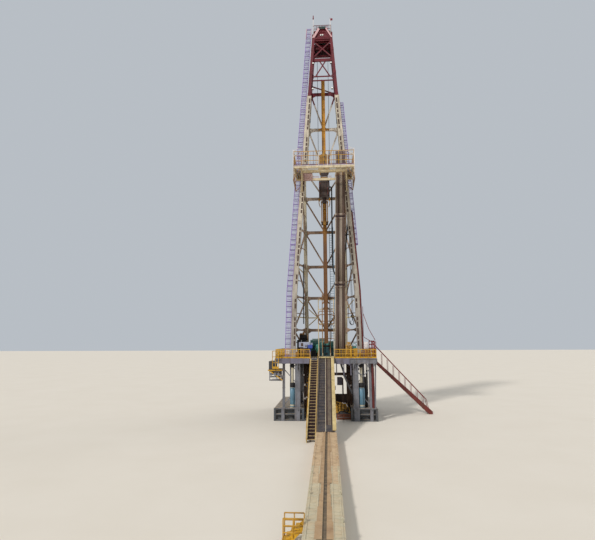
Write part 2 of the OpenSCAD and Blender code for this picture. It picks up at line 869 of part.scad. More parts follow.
// Gables, base beams, bearing pedestals and the posts of the two beacons
module crown_frame() {
    base = crown_half;
    seat = mast_top + crown_beam;
    edge = base - crown_beam / 2;
    bearing_y = sheave_span / 2 + work_gap + pedestal_t / 2;
    half = pedestal_t / 2;
    color("firebrick") difference() {
        union() {
            gable(-front_gap_top);
            gable(rear_gap_top);
            for (y = [-front_gap_top, rear_gap_top])
                translate([0, y + deck_t, mast_top])
                    rotate([90, 0, 0])
                        linear_extrude(height = deck_t)
                            polygon(window(pedestal_t / 2));
            for (x = [-beacon_left_x, beacon_right_x])
                translate([x, -front_gap_top, seat - pedestal_t])
                    cylinder(r = beacon_r, h = beacon_h - crown_beam + pedestal_t, $fn = ROUND);
            for (side = [-1, 1]) {
                box([side * edge - crown_beam / 2, -front_gap_top, mast_top],
                    [side * edge + crown_beam / 2, rear_gap_top, seat]);
                box([-base, side * bearing_y - half, mast_top], [base, side * bearing_y + half, seat]);
                box([-gable_plate, side * bearing_y - half, seat - 1],
                    [gable_plate, side * bearing_y + half, sheave_axis_z + 2 * axle_r]);
            }
        }
        translate([0, 0, sheave_axis_z])
            rotate([90, 0, 0])
                cylinder(r = axle_r + pin_gap, h = 2 * (bearing_y + pedestal_t), center = true, $fn = ROUND);
    }
}

// Grooved wheels side by side on the Y axis
module sheave_cluster() {
    plate = 16;
    rotate([90, 0, 0]) {
        cylinder(r = sheave_core, h = sheave_span, center = true, $fn = ROUND);
        for (k = [0:sheaves])
            translate([0, 0, (sheave_span - plate) * (k / sheaves - 0.5)])
                cylinder(r = sheave_r, h = plate, center = true, $fn = ROUND);
    }
}

module crown_sheaves() {
    color("darkslategray")
        translate([0, 0, sheave_axis_z]) {
            sheave_cluster();
            rotate([90, 0, 0])
                cylinder(r = axle_r, h = sheave_span + 2 * (work_gap + pedestal_t), center = true,
                    $fn = ROUND);
        }
}

// Walkway round the crown sheaves on four posts, with its railing
module crown_platform() {
    z = mast_top + walk_up;
    seat = mast_top + crown_beam;
    reach_y = front_gap_top - crown_beam;
    rail_x = walk_half - rail_t;
    rail_y = reach_y - rail_t;
    lip = deck_t + 2 * rail_t;
    color("firebrick") {
        difference() {
            box([-walk_half, -reach_y, z - deck_t], [walk_half, reach_y, z]);
            box([-sheave_r - deck_t, lip - reach_y, z - deck_t - 1],
                [sheave_r + deck_t, reach_y - lip, z + 1]);
        }
        for (side = [-1, 1]) {
            for (y = [-rail_y, rail_y])
                bar([side * rail_x, y, seat], [side * rail_x, y, z - deck_t / 2], 2 * rail_t, 2 * rail_t);
            railing([side * rail_x, -rail_y, z], [side * rail_x, rail_y, z], rail_h, 3);
            railing([-rail_x, side * rail_y, z], [rail_x, side * rail_y, z], rail_h, 4);
        }
    }
}

// Rail that guides the top drive, bracketed to the rear beams
module guide_rail() {
    z0 = floor_z + guide_from;
    back = guide_y + guide_d / 2;
    bracket_h = cross_beam * 0.7;
    color("darkgoldenrod") {
        box([-guide_w / 2, guide_y - guide_d / 2, z0], [guide_w / 2, back, arch_z + guide_over]);
        for (z = concat([for (k = [1:len(rear_levels) - 1]) rear_levels[k]], [arch_z]))
            box([-guide_w / 2, back - 1, z - bracket_h / 2],
                [guide_w / 2, rear_y(z) - beam_depth / 2, z + bracket_h / 2]);
    }
}

// Tube frame behind the guide rail's foot, standing on the floor
module guide_frame() {
    top = levels[1] - cross_beam / 2;
    y = rear_y(levels[1]) - beam_depth / 2 - frame_t / 2 - pin_gap;
    half = guide_w * 2;
    drop = lower_bay * 0.25;
    color("tan") {
        for (side = [-1, 1]) {
            bar([side * half, y, floor_z], [side * half, y, top], frame_t, frame_t);
            bar([side * guide_w, y, floor_z], [side * guide_w, y, top - drop], frame_t, frame_t);
        }
        for (z = [top - frame_t / 2, levels[0] + lower_bay * 0.2, levels[0] + lower_bay * 0.65])
            bar([-half, y, z], [half, y, z], frame_t, frame_t);
    }
}

// Thin bar of the open walkway on top of the racking board
module walk_bar(p, q) {
    z = board_top - walk_bar_t;
    bar([p.x, p.y, z], [q.x, q.y, z], walk_bar_t, walk_bar_t);
}

// Frame of the racking board, carried on the front legs
module racking_board() {
    b = board_beam;
    w = board_w;
    outer = board_half - w / 2;
    y0 = -board_front + w / 2;
    strut_foot = board_z - strut_drop;
    color("wheat") difference() {
        union() {
            bar([-board_half, y0, board_z], [board_half, y0, board_z], b, w);
            for (side = [-1, 1]) {
                bar([side * outer, y0, board_z], [side * outer, board_back, board_z], w, b);
                bar([side * rack_half, y0, board_z], [side * rack_half, board_back, board_z], w, b);
                bar([side * rack_half, -rack_front, board_z - b / 3],
                    [side * front_x(strut_foot), front_y(strut_foot), strut_foot], w, w);
                for (k = [1:3]) {
                    x = side * lerp(rack_half, outer, k / 4);
                    walk_bar([x, y0], [x, board_back]);
                }
            }
            bar([-rack_half, -rack_front, board_z], [rack_half, -rack_front, board_z], b, w);
            for (k = [1:5])
                walk_bar([-outer, lerp(y0, -rack_front, k / 6)], [outer, lerp(y0, -rack_front, k / 6)]);
            bar([-outer, board_back - w / 2, board_z], [outer, board_back - w / 2, board_z], b, w);
        }
        for (side = [-1, 1])
            leg(side, true, floor_z - leg_cut, red_z + leg_cut);
    }
}

// Comb bars that part the rows of stands
module board_fingers() {
    first = stand_x + tan(stand_lean) * (board_z - floor_z - setback_t) - row_pitch / 2;
    front = board_w / 2 - rack_front;
    back = board_back - 3 * board_w;
    color("goldenrod")
        for (side = [-1, 1])
            for (k = [0:stand_cols - 1])
                translate([side * (first + k * row_pitch) - finger_w / 4, front, board_z - finger_w / 2])
                    cube([finger_w / 2, back - front, finger_w]);
}

module board_railing() {
    x = board_half - rail_t;
    y0 = -board_front + rail_t;
    color("gold") {
        railing([-x, y0, board_top], [x, y0, board_top], board_rail_h, 8, [0.35, 0.7, 1]);
        for (side = [-1, 1])
            railing([side * x, y0, board_top], [side * x, board_back - rail_t, board_top], board_rail_h, 5,
                [0.35, 0.7, 1]);
    }
}

// One stand of drill pipe with its tool joints
module stand() {
    joint_len = joint_r * 5;
    singles = 3;
    swell = [[0, -joint_len], [joint_r - pipe_r, -joint_len], [joint_r - pipe_r, joint_len], [0, joint_len]];
    joints = [for (k = [1:singles - 1]) for (p = swell) [pipe_r + p.x, k * stand_len / singles + p.y]];
    rotate_extrude($fn = ROUND)
        polygon(concat([[0, 0], [joint_r, 0]], joints,
            [[pipe_r, stand_len - joint_len], [joint_r, stand_len - joint_len],
                [joint_r, stand_len], [0, stand_len]]));
}

module pipe_stands() {
    foot_z = floor_z + setback_t + joint_r * sin(stand_lean);
    color("dimgray")
        for (i = [0:stand_cols - 1])
            for (j = [0:stand_rows - 1])
                translate([stand_x + i * row_pitch, -stand_back - j * stand_pitch, foot_z])
                    rotate([0, stand_lean, 0])
                        stand();
}

// Point beside a front leg, out from it by dx and back from it by dy
function beside(side, z, dx, dy) = [side * (front_x(z) + leg_w / 2 + dx), front_y(z) + dy, z];

// Bar that runs beside a front leg from z0 to z1 and bends with it
module bar_beside(side, z0, z1, dx, dy) {
    t = ladder_bar;
    if (z0 < bend_z)
        bar(beside(side, z0, dx, dy), beside(side, min(bend_z, z1), dx, dy), t, t);
    if (z1 > bend_z)
        bar(beside(side, max(z0, bend_z - bend_lap), dx, dy), beside(side, z1, dx, dy), t, t);
}

// Ladder beside a front leg from z0 to z1 with its cage behind it
module ladder(side, z0, z1, gap, w) {
    rungs = round((z1 - z0) / rung_pitch);
    bars = [gap, gap + w];
    for (dx = bars)
        for (dy = [0, cage_d])
            bar_beside(side, z0, z1, dx, dy);
    for (k = [0:rungs]) {
        z = lerp(z0 + ladder_bar, z1 - ladder_bar, k / rungs);
        bar(beside(side, z, bars[0], 0), beside(side, z, bars[1], 0), ladder_bar, ladder_bar);
        if (k % 2 == 0) {
            for (dx = bars)
                bar(beside(side, z, dx, 0), beside(side, z, dx, cage_d), ladder_bar, ladder_bar);
            bar(beside(side, z, bars[0], cage_d), beside(side, z, bars[1], cage_d), ladder_bar, ladder_bar);
        }
        if (k % 4 == 1 && z < mast_top - ladder_bar)
            bar(beside(side, z, -leg_w / 2, 0), beside(side, z, bars[0], 0), ladder_bar, ladder_bar);
    }
}

module ladder_left() {
    color("plum") between(floor_z, mast_top + gable_h)
        difference() {
            ladder(-1, floor_z, mast_top + gable_h, ladder_left_gap, ladder_left_w);
            leg(-1, true, floor_z - leg_cut, red_z + leg_cut);
            top_leg(-1, true);
            crown_frame();
        }
}

module ladder_right() {
    color("plum") difference() {
        ladder(1, floor_z + ladder_right_from, floor_z + ladder_right_to, ladder_right_gap, ladder_right_w);
        leg(1, true, floor_z - leg_cut, red_z + leg_cut);
    }
}

// Pipe up the right leg and its riser beside the floor for the drilling fluid
module standpipe() {
    r = standpipe_r;
    z1 = floor_z + standpipe_h;
    dx = r + 2 * pin_gap;
    dy = -leg_d / 2 + r;
    color("darkred") {
        between(floor_z, z1) {
            rod(beside(1, floor_z - leg_cut, dx, dy), beside(1, bend_z - bend_lap, dx, dy), r);
            rod(beside(1, bend_z - leg_cut, dx, dy), beside(1, bend_z + leg_cut, dx, dy), r + pin_gap);
            rod(beside(1, bend_z + bend_lap, dx, dy), beside(1, z1 + leg_cut, dx, dy), r);
        }
        for (z = [floor_z + standpipe_h * 0.1 : standpipe_h * 0.2 : z1])
            difference() {
                bar(beside(1, z, 0, dy), beside(1, z, dx, dy), r, r);
                leg(1, true, floor_z - leg_cut, red_z + leg_cut);
            }
        translate([slim_x + slim_w / 2 + riser_r + pin_gap, front_edge + column_inset, base_h])
            cylinder(r = riser_r, h = under_z - base_h, $fn = ROUND);
    }
}

// Drill lines from the crown sheaves down to the travelling block
module drill_lines() {
    color("black")
        for (y = line_ys)
            for (side = [-1, 1])
                translate([side * line_x, y, block_axis_z])
                    cylinder(r = line_r, h = sheave_axis_z - block_axis_z, $fn = 12);
}

// Block with its sheaves between two cheek plates on a long yoke
module travelling_block() {
    cheek = 40;
    cheek_half = sheave_r * 0.7;
    neck = drive_top + yoke_h * 0.7;
    color("gold") {
        translate([0, 0, block_axis_z])
            sheave_cluster();
        for (side = [-1, 1])
            box([-cheek_half, side * (sheave_span / 2 + cheek / 2) - cheek / 2, neck - 200],
                [cheek_half, side * (sheave_span / 2 + cheek / 2) + cheek / 2,
                    block_axis_z + sheave_core * 0.7]);
        box([-250, -sheave_span / 2 - cheek, drive_top], [250, sheave_span / 2 + cheek, neck]);
    }
}

// Motor housing with its carriage running on the guide rail
module top_drive() {
    z0 = drive_top - drive_h;
    shoe_x = guide_w / 2 + 90;
    shoe_h = 300;
    shoe_back = guide_y + guide_d / 2 - 20;
    yoke_x = link_span + 2 * link_r + 60;
    slot = link_r + work_gap;
    color("darkslategray") difference() {
        union() {
            box([-drive_w / 2, -drive_d / 2, z0], [drive_w / 2, drive_d / 2, drive_top]);
            for (z = [z0 + 60, drive_top - shoe_h - 60])
                box([-shoe_x, drive_d / 2 - 1, z], [shoe_x, shoe_back, z + shoe_h]);
            cylinder_between(link_pin_z - 120, z0 + 1, 120);
            box([-yoke_x / 2, -100, link_pin_z - 80], [yoke_x / 2, 100, link_pin_z + 80]);
        }
        box([-guide_w / 2 - work_gap, carriage_front, z0 - 10],
            [guide_w / 2 + work_gap, guide_y + guide_d, drive_top + 10]);
        for (side = [-1, 1])
            box([side * link_span / 2 - slot, -200, link_pin_z - 200],
                [side * link_span / 2 + slot, 200, link_pin_z + 200]);
    }
    color("silver") translate([0, 0, link_pin_z])
        rotate([0, 90, 0])
            cylinder(r = pin_r, h = yoke_x, center = true, $fn = ROUND);
}

// Upright cylinder on the well's centre line
module cylinder_between(z0, z1, r) {
    translate([0, 0, z0])
        cylinder(r = r, h = z1 - z0, $fn = ROUND);
}

// Two links swinging on the top drive's pin, with the elevator between them
module elevator_links() {
    low = link_pin_z - link_len;
    color("gold") difference() {
        union() {
            for (side = [-1, 1]) {
                translate([side * link_span / 2, 0, low])
                    cylinder(r = link_r, h = link_len, $fn = ROUND);
                translate([side * link_span / 2, 0, link_pin_z])
                    rotate([0, 90, 0])
                        cylinder(r = 70, h = 2 * link_r, center = true, $fn = ROUND);
            }
            box([-link_span / 2 - link_r, -110, low - 200], [link_span / 2 + link_r, 110, low + 40]);
        }
        translate([0, 0, link_pin_z])
            rotate([0, 90, 0])
                cylinder(r = pin_r + pin_gap, h = 2 * link_span, center = true, $fn = ROUND);
        cylinder_between(low - 300, low + 300, joint_r + 8);
    }
}

base_box_left();
base_box_right();
columns_left();
columns_right();
raising_cylinders();
substructure_braces();
blowout_preventer();
drill_floor();
rotary_casing();
turntable();
floor_railings();
drawworks();
pipe_setback();
v_door_ramp();
ramp_stair_sides();
ramp_stair_treads();
catwalk_rear();
catwalk_front();
catwalk_steps();
side_platform();
side_cabin();
outer_stair();
front_leg_left();
front_leg_right();
rear_legs();
side_bracing_left();
side_bracing_right();
rear_bracing();
mast_top_section();
crown_frame();
crown_sheaves();
crown_platform();
guide_rail();
guide_frame();
racking_board();
board_fingers();
board_railing();
pipe_stands();
ladder_left();
ladder_right();
standpipe();
drill_lines();
travelling_block();
top_drive();
elevator_links();
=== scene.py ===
"""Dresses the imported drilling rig: materials for every node and the pieces too fine for the CAD."""
import json
import math
import bpy
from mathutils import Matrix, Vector

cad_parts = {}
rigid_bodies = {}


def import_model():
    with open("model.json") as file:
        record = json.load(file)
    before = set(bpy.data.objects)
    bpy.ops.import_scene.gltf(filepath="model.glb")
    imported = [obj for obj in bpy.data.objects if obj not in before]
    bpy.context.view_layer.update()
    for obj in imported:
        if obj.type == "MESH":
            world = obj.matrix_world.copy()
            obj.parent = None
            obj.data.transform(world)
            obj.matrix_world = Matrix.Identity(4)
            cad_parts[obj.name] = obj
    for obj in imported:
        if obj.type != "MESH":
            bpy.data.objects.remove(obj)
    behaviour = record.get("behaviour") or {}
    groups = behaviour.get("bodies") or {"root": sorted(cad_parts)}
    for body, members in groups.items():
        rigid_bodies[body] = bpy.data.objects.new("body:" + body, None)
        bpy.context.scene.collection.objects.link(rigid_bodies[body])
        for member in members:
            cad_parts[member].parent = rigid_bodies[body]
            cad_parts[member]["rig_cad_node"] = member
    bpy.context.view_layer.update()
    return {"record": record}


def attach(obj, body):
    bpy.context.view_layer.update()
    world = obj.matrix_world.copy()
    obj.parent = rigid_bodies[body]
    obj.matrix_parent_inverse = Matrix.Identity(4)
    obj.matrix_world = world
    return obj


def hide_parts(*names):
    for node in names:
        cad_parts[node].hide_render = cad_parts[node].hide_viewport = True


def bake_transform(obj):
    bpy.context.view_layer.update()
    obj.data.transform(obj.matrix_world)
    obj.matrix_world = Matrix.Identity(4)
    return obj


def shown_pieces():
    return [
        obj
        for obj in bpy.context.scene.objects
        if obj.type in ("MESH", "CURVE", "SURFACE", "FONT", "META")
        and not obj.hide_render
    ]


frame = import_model()

# All in metres, as in the CAD. Heights: drill floor, its underside, mast top, foot of the red section
FLOOR, UNDER, TOP, RED = 3.75, 3.43, 27.15, 22.57
BEND, KNEE = 8.15, 16.359  # where the front and the rear legs change their lean
LEFT, RIGHT, FRONT, REAR = -3.2, 3.1, -2.75, 3.25  # edges of the drill floor
RAMP_END, CATWALK_END, CATWALK_H, BAY = -8.85, -20.73, 0.5, 1.98
RUN, STEPS = 6.1, 30  # of the stair beside the ramp
BASE_H, RAIL_H = 0.75, 0.55
COLUMN_X, SLIM_X = 1.8, 2.675  # main and slim columns, from the middle
# Legs, from the middle: front ones at foot, bend and top, rear ones at foot and knee
FOOT_X, BEND_X, TOP_X, REAR_X, KNEE_X = 2.215, 2.1, 0.665, 1.345, 1.48
LEG_JOINTS = (6.7, 9.6, 13.2, 16.9, 19.6)
# Heights of the bracing, arch, racking board, sheaves, block, cross beams and crown walkway
LEVELS = [5.575, 7.835, 10.095, 12.635, 15.175, 17.325, 20.575]
ARCH, BOARD = 23.45, 16.1
SHEAVE_Z, BLOCK_Z = 27.75, 17.85
TIE, DEEP, BACK_BEAM = 24.15, 25.474, 26.62
WALK, WALK_X, WALK_Y = 27.95, 0.664, 0.424
SIDES = (-1, 1)
SIDE_WORDS = (("left", -1), ("right", 1))
ALONG_X, ALONG_Y, ALONG_Z = (1, 0, 0), (0, 1, 0), (0, 0, 1)

# Camera and light
scene = bpy.context.scene
camera = bpy.data.objects.new("camera", bpy.data.cameras.new("camera"))
camera.location = (0.15, -31.25, 4.7)
camera.rotation_euler = (math.radians(99.2), math.radians(0.2), math.radians(3.9))
camera.data.lens = 27.23
camera.data.sensor_width = 36
camera.data.clip_end = 400
scene.collection.objects.link(camera)
scene.camera = camera
scene.view_settings.view_transform = "Standard"
scene.view_settings.look = "None"

world = bpy.data.worlds.new("studio")
world.use_nodes = True
world.node_tree.nodes["Background"].inputs[0].default_value = (0.80, 0.86, 0.93, 1)
world.node_tree.nodes["Background"].inputs[1].default_value = 0.6
scene.world = world
for name, power, turn, soft in (("key", 2.3, (50, 0, -38), 6), ("fill", 0.5, (60, 0, 120), 40)):
    lamp = bpy.data.lights.new(name, "SUN")
    lamp.energy = power
    lamp.angle = math.radians(soft)
    holder = bpy.data.objects.new(name, lamp)
    holder.rotation_euler = [math.radians(a) for a in turn]
    scene.collection.objects.link(holder)


# Shapes
def lerp(a, b, t):
    return a + (b - a) * t


def spread(a, b, count):
    """That many values or points, evenly spaced from a to b."""
    return [lerp(a, b, k / (count - 1)) for k in range(count)]


def middles(a, b, count):
    """The middles of that many even steps from a to b."""
    return [lerp(a, b, (k + 0.5) / count) for k in range(count)]


def at(spot, *offsets):
    return [spot + Vector(o) for o in offsets]


def front_x(z):
    if z < BEND:
        return lerp(FOOT_X, BEND_X, (z - FLOOR) / (BEND - FLOOR))
    return lerp(BEND_X, TOP_X, (z - BEND) / (TOP - BEND))


def rear_x(z):
    return lerp(REAR_X, KNEE_X, (z - FLOOR) / (KNEE - FLOOR)) if z < KNEE else front_x(z)


def front_pt(side, z):
    return Vector((side * front_x(z), -lerp(0.75, 0.6, (z - FLOOR) / (TOP - FLOOR)), z))


def rear_pt(side, z):
    return Vector((side * rear_x(z), lerp(0.88, 0.62, (z - FLOOR) / (TOP - FLOOR)), z))


class Shape:
    """Collects boxes, bars, tubes and plates into one mesh."""

    def __init__(self):
        self.verts, self.faces, self.smooth = [], [], []

    def add(self, verts, faces, smooth=False):
        base = len(self.verts)
        self.verts += [tuple(v) for v in verts]
        self.faces += [tuple(base + i for i in f) for f in faces]
        self.smooth += [smooth if isinstance(smooth, bool) else smooth(f) for f in faces]

    def block(self, corner, dx, dy, dz):
        c = Vector(corner)
        v = [c + dx * i + dy * j + dz * k for k in (0, 1) for j in (0, 1) for i in (0, 1)]
        self.add(v, [(0, 2, 3, 1), (4, 5, 7, 6), (0, 1, 5, 4), (2, 6, 7, 3), (0, 4, 6, 2),
                     (1, 3, 7, 5)])

    def box(self, a, b):
        lo = Vector(map(min, a, b))
        hi = Vector(map(max, a, b))
        self.block(lo, Vector((hi.x - lo.x, 0, 0)), Vector((0, hi.y - lo.y, 0)),
                   Vector((0, 0, hi.z - lo.z)))

    def boxes(self, base, *rows):
        """Boxes given as x0, y0, z0, x1, y1, z1, the heights counted from base."""
        for x0, y0, z0, x1, y1, z1 in rows:
            self.box((x0, y0, base + z0), (x1, y1, base + z1))

    def pad(self, x, y, half_x, half_y, low, high):
        self.box((x - half_x, y - half_y, low), (x + half_x, y + half_y, high))

    def rib_x(self, x, half, y0, y1, z0, z1):
        self.box((x - half, y0, z0), (x + half, y1, z1))

    def rib_y(self, y, half, x0, x1, z0, z1):
        self.box((x0, y - half, z0), (x1, y + half, z1))

    def ribs_x(self, xs, *rest):
        for x in xs:
            self.rib_x(x, *rest)

    def ribs_y(self, ys, *rest):
        for y in ys:
            self.rib_y(y, *rest)

    def axes(self, p, q):
        v = Vector(q) - Vector(p)
        turn = math.atan2(v.x, v.z)
        across = Vector((math.cos(turn), 0, -math.sin(turn)))
        return v, across, v.normalized().cross(across)

    def bar(self, p, q, w, d, dx=0.0, dy=0.0):
        v, across, deep = self.axes(p, q)
        start = Vector(p) + across * (dx - w / 2) + deep * (dy - d / 2)
        self.block(start, across * w, deep * d, v)

    def bar_x(self, x0, x1, y, z, w, d):
        self.bar((x0, y, z), (x1, y, z), w, d)

    def bar_z(self, x, y, z0, z1, w, d):
        self.bar((x, y, z0), (x, y, z1), w, d)

    def corner_bars(self, p, q, w, d, half_x, half_y):
        for dx in (-half_x, half_x):
            for dy in (-half_y, half_y):
                self.bar(p, q, w, d, dx, dy)

    def rod(self, p, q, r, sides=10, r2=None):
        v, across, deep = self.axes(p, q)
        r2 = r if r2 is None else r2
        rings = []
        for centre, radius in ((Vector(p), r), (Vector(p) + v, r2)):
            rings += [centre + (across * math.cos(a) + deep * math.sin(a)) * radius
                      for a in (2 * math.pi * k / sides for k in range(sides))]
        faces = [(k, (k + 1) % sides, sides + (k + 1) % sides, sides + k) for k in range(sides)]
        faces += [tuple(reversed(range(sides))), tuple(range(sides, 2 * sides))]
        self.add(rings, faces, lambda f: len(f) == 4)

    def rod_x(self, x0, x1, y, z, r, sides=10):
        self.rod((x0, y, z), (x1, y, z), r, sides)

    def rod_y(self, y0, y1, x, z, r, sides=10):
        self.rod((x, y0, z), (x, y1, z), r, sides)

    def post(self, x, y, low, high, r, sides=10, r2=None):
        self.rod((x, y, low), (x, y, high), r, sides, r2)

    def tube(self, points, r, sides=8):
        pts = [Vector(p) for p in points]
        side = Vector((0.31, 0.87, 0.38)).normalized()
        verts = []
        for k, p in enumerate(pts):
            way = (pts[min(k + 1, len(pts) - 1)] - pts[max(k - 1, 0)]).normalized()
            side = (side - way * side.dot(way)).normalized()
            other = way.cross(side)
            verts += [p + (side * math.cos(a) + other * math.sin(a)) * r
                      for a in (2 * math.pi * j / sides for j in range(sides))]
        faces = []
        for k in range(len(pts) - 1):
            for j in range(sides):
                a, b = k * sides + j, k * sides + (j + 1) % sides
                faces.append((a, b, b + sides, a + sides))
        faces += [tuple(reversed(range(sides))), tuple(range((len(pts) - 1) * sides, len(pts) * sides))]
        self.add(verts, faces, lambda f: len(f) == 4)

    def ring(self, centre, axis, radius, r, steps=24, sides=6, arc=(0, 360)):
        axis = Vector(axis).normalized()
        a = axis.orthogonal().normalized()
        b = axis.cross(a)
        span = [math.radians(lerp(arc[0], arc[1], k / steps)) for k in range(steps + 1)]
        self.tube([Vector(centre) + (a * math.cos(t) + b * math.sin(t)) * radius for t in span], r,
                  sides)

    def plate(self, outline, thick):
        """Flat plate with the outline's points on its middle plane."""
        pts = [Vector(p) for p in outline]
        normal = (pts[1] - pts[0]).cross(pts[2] - pts[0]).normalized() * thick / 2
        n = len(pts)
        faces = [tuple(range(n)), tuple(reversed(range(n, 2 * n)))]
        faces += [((k + 1) % n, k, n + k, n + (k + 1) % n) for k in range(n)]
        self.add([p + normal for p in pts] + [p - normal for p in pts], faces)

    def plate_x(self, x, outline, thick):
        self.plate([(x, y, z) for y, z in outline], thick)

    def plate_y(self, y, outline, thick):
        self.plate([(x, y, z) for x, z in outline], thick)

    def ball(self, centre, r, steps=10):
        c = Vector(centre)
        rows = steps // 2
        verts = [c + Vector((0, 0, -r))]
        for i in range(1, rows):
            a = math.pi * i / rows
            verts += [c + Vector((math.sin(a) * math.cos(b), math.sin(a) * math.sin(b),
                                  -math.cos(a))) * r
                      for b in (2 * math.pi * j / steps for j in range(steps))]
        verts.append(c + Vector((0, 0, r)))
        last = len(verts) - 1
        faces = [(0, 1 + (j + 1) % steps, 1 + j) for j in range(steps)]
        for i in range(rows - 2):
            for j in range(steps):
                a, b = 1 + i * steps + j, 1 + i * steps + (j + 1) % steps
                faces.append((a, b, b + steps, a + steps))
        top = 1 + (rows - 2) * steps
        faces += [(top + j, top + (j + 1) % steps, last) for j in range(steps)]
        self.add(verts, faces, True)

    def bolts(self, points, axis, r=0.011, h=0.014):
        for p in points:
            self.rod(p, Vector(p) + Vector(axis).normalized() * h, r, 6)

    def done(self, name, paint, slot=None, body="rig", bevel=0.0):
        """Makes the piece and empties the collector; the slot argument is not used."""
        slot = slot or paint
        mesh = bpy.data.meshes.new(name)
        mesh.from_pydata(self.verts, [], self.faces)
        mesh.polygons.foreach_set("use_smooth", self.smooth)
        mesh.materials.append(M[paint])
        mesh.update()
        obj = bpy.data.objects.new(name, mesh)
        scene.collection.objects.link(obj)
        if bevel:
            edge = obj.modifiers.new("edges", "BEVEL")
            edge.width = bevel
            edge.segments = 1
            edge.limit_method = "ANGLE"
        if body:
            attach(obj, body)
        self.__init__()
        return obj


s = Shape()


def handrail(p, q, height, posts, tube=0.013, toe=0.09, rows=(0.5, 1.0), mesh=0.0):
    """Posts, rails, a toe board and, with mesh set, thin infill bars of that spacing."""
    p, q = Vector(p), Vector(q)
    up = Vector((0, 0, height))
    for foot in spread(p, q, posts + 1):
        s.rod(foot, foot + up, tube, 8)
        s.box(foot - Vector((0.03, 0.03, 0)), foot + Vector((0.03, 0.03, 0.012)))
    for f in rows:
        s.tube([p + up * f, q + up * f], tube, 8)
    if toe:
        way = (q - p).normalized()
        side = Vector((-way.y, way.x, 0)) * 0.004
        s.block(p - side, q - p, side * 2, Vector((0, 0, toe)))
    if mesh:
        for f in (rows[0] * 0.5, (rows[0] + 1) / 2):
            s.tube([p + up * f, q + up * f], 0.005, 4)
        count = max(2, round((q - p).length / mesh))
        for foot in spread(p, q, count + 1)[1:-1]:
            s.rod(foot + Vector((0, 0, toe)), foot + up, 0.004, 4)


# Materials
def tint(r, g, b):
    """Linear colour of an 8-bit screen colour."""
    return tuple(c / 255 / 12.92 if c / 255 <= 0.04045 else ((c / 255 + 0.055) / 1.055) ** 2.4
                 for c in (r, g, b)) + (1,)


DUST = tint(206, 178, 138)


class Nodes:
    """Short hand for a material's node tree."""

    def __init__(self, name):
        self.mat = bpy.data.materials.new(name)
        self.mat.use_nodes = True
        self.tree = self.mat.node_tree
        self.shader = self.tree.nodes["Principled BSDF"]
        self.coords = self.tree.nodes.new("ShaderNodeTexCoord").outputs["Object"]

    def put(self, value, spot):
        if isinstance(value, (tuple, float, int)):
            spot.default_value = value
        else:
            self.tree.links.new(value, spot)

    def node(self, kind, inputs, **settings):
        """New node whose inputs get numbers, colours or the outputs of other nodes."""
        node = self.tree.nodes.new(kind)
        for word, value in settings.items():
            setattr(node, word, value)
        for spot, value in inputs.items():
            self.put(value, node.inputs[spot])
        return node

    def paint(self, spot, value):
        self.put(value, self.shader.inputs[spot])

    def noise(self, scale, detail=4.0, rough=0.6, stretch=(1, 1, 1)):
        mapping = self.node("ShaderNodeMapping", {"Scale": stretch, "Vector": self.coords})
        return self.node("ShaderNodeTexNoise", {"Scale": scale, "Detail": detail, "Roughness": rough,
                                                "Vector": mapping.outputs["Vector"]}).outputs["Fac"]

    def span(self, value, low, high, to_low=0.0, to_high=1.0):
        return self.node("ShaderNodeMapRange", {"From Min": low, "From Max": high, "To Min": to_low,
                                                "To Max": to_high, "Value": value}).outputs["Result"]

    def mix(self, factor, a, b):
        return self.node("ShaderNodeMix", {0: factor, 6: a, 7: b}, data_type="RGBA").outputs[2]

    def times(self, a, b):
        return self.node("ShaderNodeMath", {0: a, 1: b}, operation="MULTIPLY").outputs[0]

    def z_of(self, vector):
        return self.node("ShaderNodeSeparateXYZ", {0: vector}).outputs["Z"]

    def height(self, low, high):
        return self.span(self.z_of(self.coords), low, high)

    def facing_up(self):
        geometry = self.tree.nodes.new("ShaderNodeNewGeometry")
        return self.span(self.z_of(geometry.outputs["Normal"]), 0.35, 0.95)

    def bump(self, height, strength, distance):
        node = self.node("ShaderNodeBump", {"Strength": strength, "Distance": distance,
                                            "Height": height})
        self.paint("Normal", node.outputs["Normal"])


def coat(name, base, shade, chips, streaks, dust, rough=0.5, metal=0.0, worn=(92, 58, 38), tone=2.2,
         low=None):
    """Outdoor paint or bare metal: tone drift, running dirt, chipped spots and settled sand.

    low is painted shade: a darker colour for the parts below a height, fading out between two heights.
    """
    n = Nodes(name)
    base = tint(*base)
    dark = tint(*shade) if shade else tuple(c * 0.55 for c in base[:3]) + (1,)
    scale, stretch = tone if isinstance(tone, tuple) else (tone, 1)
    drift = n.span(n.noise(scale, 3.0, 0.6, (1, 1, stretch)), 0.35, 0.7)
    colour = n.mix(n.times(drift, 0.55), base, dark)
    # Painted shade: below the given heights the colour turns to the low one.
    if low:
        colour = n.mix(n.height(low[1], low[2]), n.mix(n.times(drift, 0.6), tint(*low[0]), dark),
                       colour)
    run = n.span(n.noise(7.0, 5.0, 0.65, (1, 1, 0.09)), 0.5, 0.72)
    colour = n.mix(n.times(run, streaks), colour, tint(84, 66, 50))
    spots = n.span(n.noise(19.0, 8.0, 0.7), 0.70 - 0.1 * chips, 0.76 - 0.1 * chips)
    colour = n.mix(n.times(spots, min(chips, 1.0)), colour, tint(*worn))
    sand = n.times(n.facing_up(), n.span(n.noise(4.0, 6.0), 0.25, 0.65))
    colour = n.mix(n.times(sand, dust), colour, DUST)
    n.paint("Base Color", colour)
    n.paint("Roughness", n.span(n.noise(11.0, 5.0), 0.3, 0.7, max(rough - 0.13, 0.05),
                                min(rough + 0.2, 1)))
    n.paint("Metallic", metal)
    n.bump(n.noise(46.0, 6.0), 0.25, 0.004)
    return n.mat


